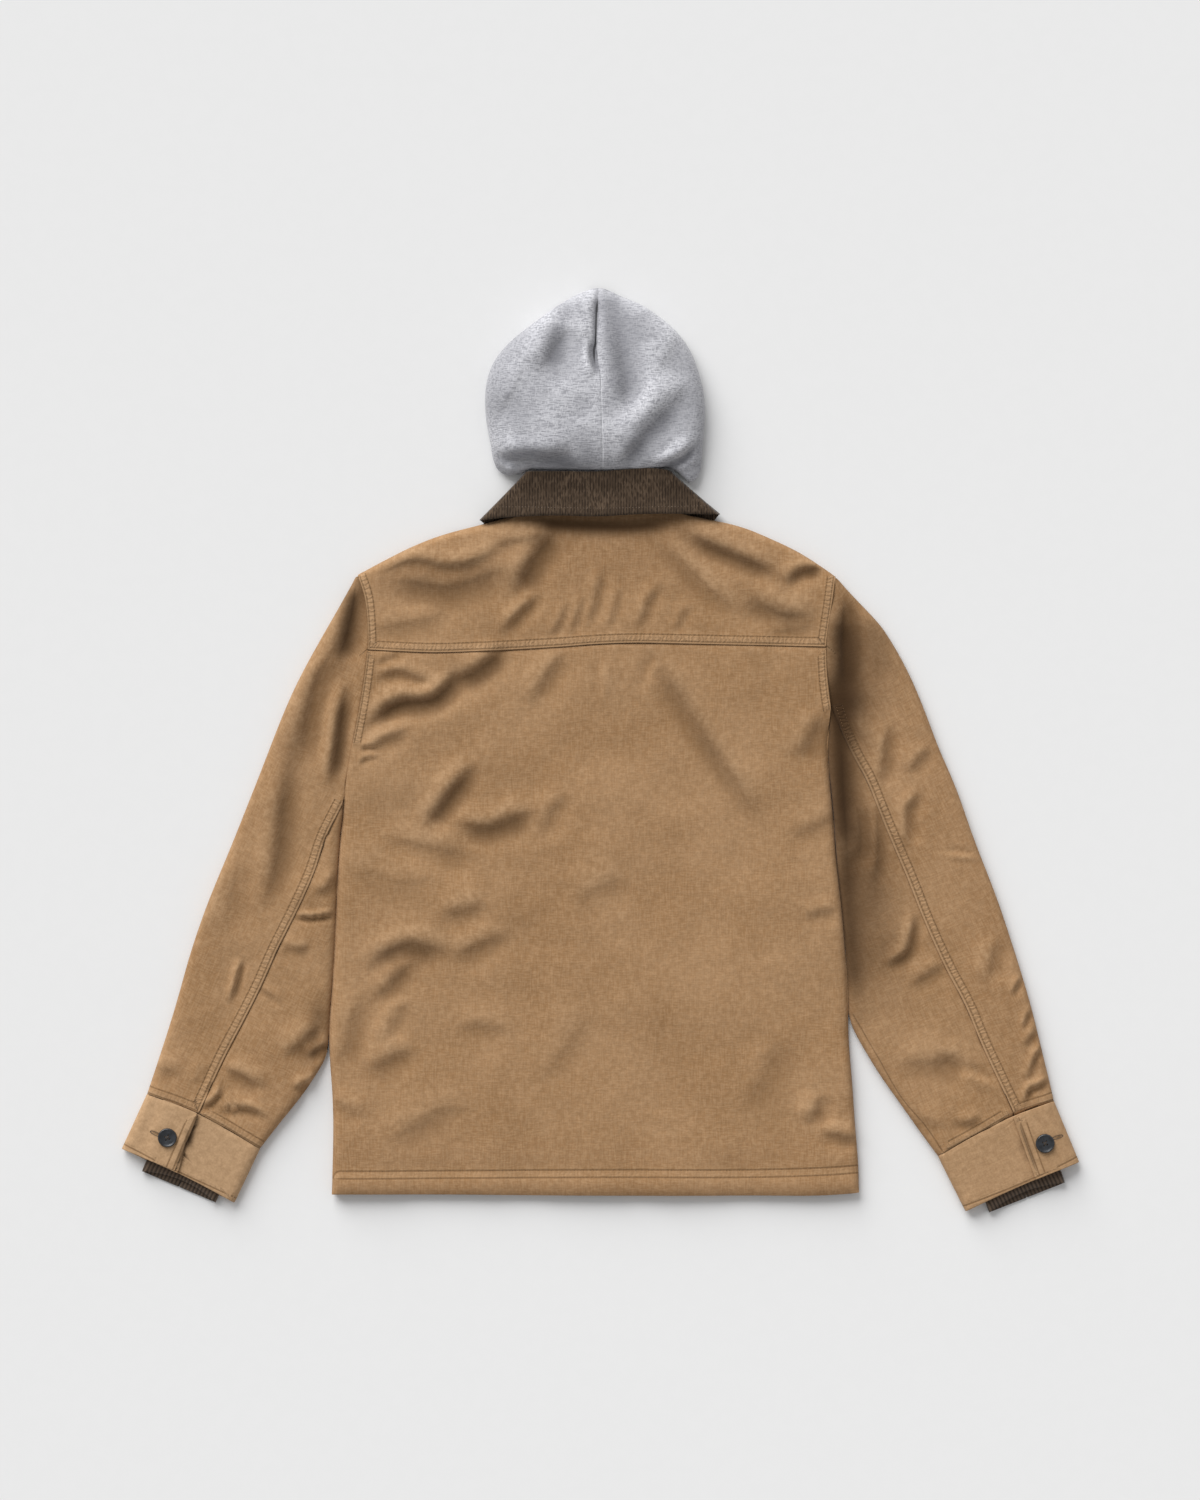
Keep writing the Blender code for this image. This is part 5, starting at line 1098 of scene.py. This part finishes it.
class JacketLooks(bpy.types.PropertyGroup):
    """The colours and small sizes of the finishes."""

    canvas: tint("Canvas", "Lit colour of the washed canvas", "#AC8762")
    canvas_shadow: tint("Canvas, dull", "Canvas in its duller patches", "#9F7A55")
    canvas_worn: tint("Canvas, worn", "Canvas rubbed pale on ridges and edges", "#BF9D79")
    # The deepest dye in random specks and mottling, and painted shade in fold troughs, rung troughs and sunk
    # rows.
    canvas_deep_dye_and_shade: tint("Canvas, deep", "Canvas where the dye lies deepest", "#765839")
    # Painted shade in the hollows.
    canvas_hollow: tint("Canvas, hollows", "Canvas down in the hollows beside a seam", "#3E2B19")
    # Painted shade down in a seam; also the deep tone of the canvas thread.
    seam_shadow: tint("Seam", "Canvas down in a seam", "#4A3622")
    thread: tint("Thread", "Thread of the rows of stitches", "#97744E")
    thread_collar: tint("Thread, collar", "Thread of the collar's row", "#8C7C6C")
    corduroy: tint("Corduroy", "Tops of the wales", "#433528")
    # Between the wales: partly the ground cloth and partly painted shade in the grooves; also the deep tone
    # of the dark thread.
    corduroy_deep: tint("Corduroy, deep", "Cloth between the wales", "#281F17")
    corduroy_worn: tint("Corduroy, worn", "Dusty pile", "#625141")
    fleece: tint("Hood", "Heather knit of the hood", "#CDCDD2")
    # The heather's dark fibres, and painted shade in the hood's fold troughs.
    fleece_dark_fibres_and_shade: tint("Hood, dark fibres", "Dark fibres of the heather", "#9A9AA0")
    fleece_pale: tint("Hood, pale fibres", "Pale fibres of the heather", "#E6E6EA")
    # Painted shade in the hood's hollows.
    fleece_shade: tint("Hood, hollows", "Heather down in the hollows", "#6A6A70")
    # Painted shade down in the hood's open seam.
    fleece_open_seam_shade: tint("Hood, open seam", "Heather down where the hood's seam stands open", "#303034")
    rib: tint("Rib", "Tops of the cuff ribs", "#5E4E40")
    # Painted shade between the cuff ribs.
    rib_painted_shade: tint("Rib, deep", "Between the cuff ribs", "#382D24")
    button: tint("Button", "Button plastic", "#1C1E21")
    button_cloud: tint("Button, cloudy", "Cloud in the button plastic", "#2B2E33")
    brass: tint("Brass", "Rubbed zip metal", "#A98E5C")
    brass_deep: tint("Brass, deep", "Antiqued zip metal", "#5A4A30")
    paper: tint("Paper", "Studio background paper", "#ECECEC")
    paper_tooth: tint("Paper, tooth", "The low spots of the paper's surface", "#C8C8C8")
    wale_pitch: metres("Wale pitch", "Distance between corduroy wales", 0.0029)
    rib_pitch: metres("Rib pitch", "Distance between cuff ribs", 0.004)


class JacketSizes(bpy.types.PropertyGroup):
    """The sizes of the sewing and the depth of the folds."""

    fold_depth: bpy.props.FloatProperty(
        name="Fold depth", description="Share of the tables' fold heights", default=1.9, subtype="FACTOR")
    stitch_pitch: metres("Stitch pitch", "Distance between stitches", 0.0034)
    stitch_length: metres("Stitch length", "Length of a stitch that shows", 0.0025)
    thread_width: metres("Thread width", "Thickness of the sewing thread", 0.0007)
    button_radius: metres("Button radius", "Half of a coat button's width", 0.010)


def dress_group(*nodes):
    """Dresses the named pieces and raises an error if one is missing."""
    depth = bpy.context.scene.jacket_sizes.fold_depth
    rows = [item for item in CLOTH if item.node in nodes]
    if len(rows) != len(nodes):
        raise RuntimeError("a piece of cloth is not in the table")
    for item in rows:
        dress(item, depth)
    return {"FINISHED"}


class JACKET_OT_body(bpy.types.Operator):
    """Dresses the back, the yoke and the two fronts"""

    bl_idname = "jacket.body"
    bl_label = "Body"

    def execute(self, context):
        return dress_group("back_panel", "back_yoke", "front_left", "front_right")


class JACKET_OT_sleeves(bpy.types.Operator):
    """Dresses the outer and under panels of both sleeves"""

    bl_idname = "jacket.sleeves"
    bl_label = "Sleeves"

    def execute(self, context):
        return dress_group("sleeve_left_outer", "sleeve_left_under",
                           "sleeve_right_outer", "sleeve_right_under")


class JACKET_OT_cuffs(bpy.types.Operator):
    """Dresses the canvas cuffs and the rib cuffs inside them"""

    bl_idname = "jacket.cuffs"
    bl_label = "Cuffs"

    def execute(self, context):
        return dress_group("cuff_left", "cuff_right", "rib_cuff_left", "rib_cuff_right")


class JACKET_OT_collar(bpy.types.Operator):
    """Dresses the corduroy collar"""

    bl_idname = "jacket.collar"
    bl_label = "Collar"

    def execute(self, context):
        return dress_group("collar")


class JACKET_OT_hood(bpy.types.Operator):
    """Dresses both halves of the hood"""

    bl_idname = "jacket.hood"
    bl_label = "Hood"

    def execute(self, context):
        return dress_group("hood_left", "hood_right")


class JACKET_OT_sewing(bpy.types.Operator):
    """Sews the rows of stitches and the buttonholes"""

    bl_idname = "jacket.sewing"
    bl_label = "Sewing"

    def execute(self, context):
        sizes = context.scene.jacket_sizes
        stitch = stitch_mesh(sizes.stitch_length, sizes.thread_width)
        for item in SEWING:
            finish, slot = (collar_thread, "corduroy") if item.seam == "collar edge" else (thread, "canvas")
            places = lay_on(item.carried_by, row_spots(item, sizes.stitch_pitch / MM), STITCH_SINK)
            join_copies("stitches_" + item.seam.replace(" ", "_"), stitch, places, finish)
        bar = stitch_mesh(BAR_LONG * MM, BAR_THICK * MM)
        for side, ends in BUTTONHOLES.items():
            places = lay_on([f"cuff_{side}"], buttonhole_spots(ends))
            join_copies(f"buttonhole_{side}", bar, places, dark_thread)
        return {"FINISHED"}


class JACKET_OT_buttons(bpy.types.Operator):
    """Makes the two cuff buttons and the thread that holds them"""

    bl_idname = "jacket.buttons"
    bl_label = "Buttons"

    def execute(self, context):
        for side in ("left", "right"):
            low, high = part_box(f"button_{side}")
            centre = ((low[0] + high[0]) / 2, (low[1] + high[1]) / 2)
            remake_button(side, centre, context.scene.jacket_sizes.button_radius, low[2], high[2])
            cross_thread(side, centre, high[2])
        return {"FINISHED"}


class JACKET_OT_zip(bpy.types.Operator):
    """Finishes the closed zip and its slider under the fronts"""

    bl_idname = "jacket.zip"
    bl_label = "Zip"

    def execute(self, context):
        for node in ("zip_chain", "zip_slider"):
            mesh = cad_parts[node].data
            mesh.materials.clear()
            mesh.materials.append(made(zip_metal))
        return {"FINISHED"}


FLOOR_SIZE = 7           # metres
FLOOR_DROP = 0.3         # millimetres below the jacket, so that the two don't touch
SKY_LIGHT = 0.43         # even light from all round
SUN_POWER = 3.56
SUN_HEIGHT = 29.0        # degrees above the floor
SUN_FROM = 117.0         # degrees from +X towards +Y: from the top of the picture, a little to its left
SUN_SPREAD = 50.0        # degrees across, for soft edges
CAMERA_HEIGHT = 6.0
CAMERA_WIDTH = 1.26      # metres across the picture at the floor
SENSOR = 36


class JACKET_OT_stage(bpy.types.Operator):
    """Lays the paper floor and sets the light and the camera straight above"""

    bl_idname = "jacket.stage"
    bl_label = "Floor, light and camera"

    def execute(self, context):
        scene = context.scene
        bpy.ops.object.select_all(action="DESELECT")
        bpy.ops.mesh.primitive_plane_add(size=FLOOR_SIZE, location=(0, 0, -FLOOR_DROP * MM))
        floor = context.object
        floor.name = "floor_paper"
        floor.data.materials.append(made(studio_paper))
        scene.world = bpy.data.worlds.new("studio")
        scene.world.use_nodes = True
        sky = scene.world.node_tree.nodes["Background"]
        sky.inputs["Color"].default_value = (1, 1, 1, 1)
        sky.inputs["Strength"].default_value = SKY_LIGHT
        bpy.ops.object.light_add(type="SUN")
        sun = context.object
        sun.data.energy = SUN_POWER
        sun.data.angle = math.radians(SUN_SPREAD)
        sun.rotation_euler = (math.radians(90 - SUN_HEIGHT), 0, math.radians(SUN_FROM + 90))
        bpy.ops.object.camera_add(location=(0, 0, CAMERA_HEIGHT), rotation=(0, 0, 0))
        camera = context.object
        camera.data.sensor_fit = "HORIZONTAL"
        camera.data.sensor_width = SENSOR
        camera.data.lens = SENSOR * CAMERA_HEIGHT / CAMERA_WIDTH
        camera.data.clip_end = 50
        scene.camera = camera
        scene.view_settings.view_transform = "Standard"
        return {"FINISHED"}


STEPS = ("body", "sleeves", "cuffs", "collar", "hood", "sewing", "buttons", "zip", "stage")


class JACKET_PT_steps(bpy.types.Panel):
    """Lists the steps that dress the jacket"""

    bl_idname = "JACKET_PT_steps"
    bl_label = "Jacket"
    bl_space_type = "VIEW_3D"
    bl_region_type = "UI"
    bl_category = "Jacket"

    def draw(self, context):
        for group in (context.scene.jacket_sizes, context.scene.jacket_looks):
            for name in type(group).__annotations__:
                self.layout.prop(group, name)
        for step in STEPS:
            self.layout.operator(f"jacket.{step}")


CLASSES = (JacketLooks, JacketSizes, JACKET_OT_body, JACKET_OT_sleeves, JACKET_OT_cuffs, JACKET_OT_collar,
           JACKET_OT_hood, JACKET_OT_sewing, JACKET_OT_buttons, JACKET_OT_zip, JACKET_OT_stage,
           JACKET_PT_steps)


def register():
    """Registers the classes and their settings."""
    for item in CLASSES:
        bpy.utils.register_class(item)
    bpy.types.Scene.jacket_looks = bpy.props.PointerProperty(type=JacketLooks)
    bpy.types.Scene.jacket_sizes = bpy.props.PointerProperty(type=JacketSizes)


def unregister():
    """Takes them away again."""
    del bpy.types.Scene.jacket_looks
    del bpy.types.Scene.jacket_sizes
    for item in reversed(CLASSES):
        bpy.utils.unregister_class(item)


def main():
    """Dresses the jacket step by step."""
    register()
    for step in STEPS:
        getattr(bpy.ops.jacket, step)()


if __name__ == "__main__":
    main()
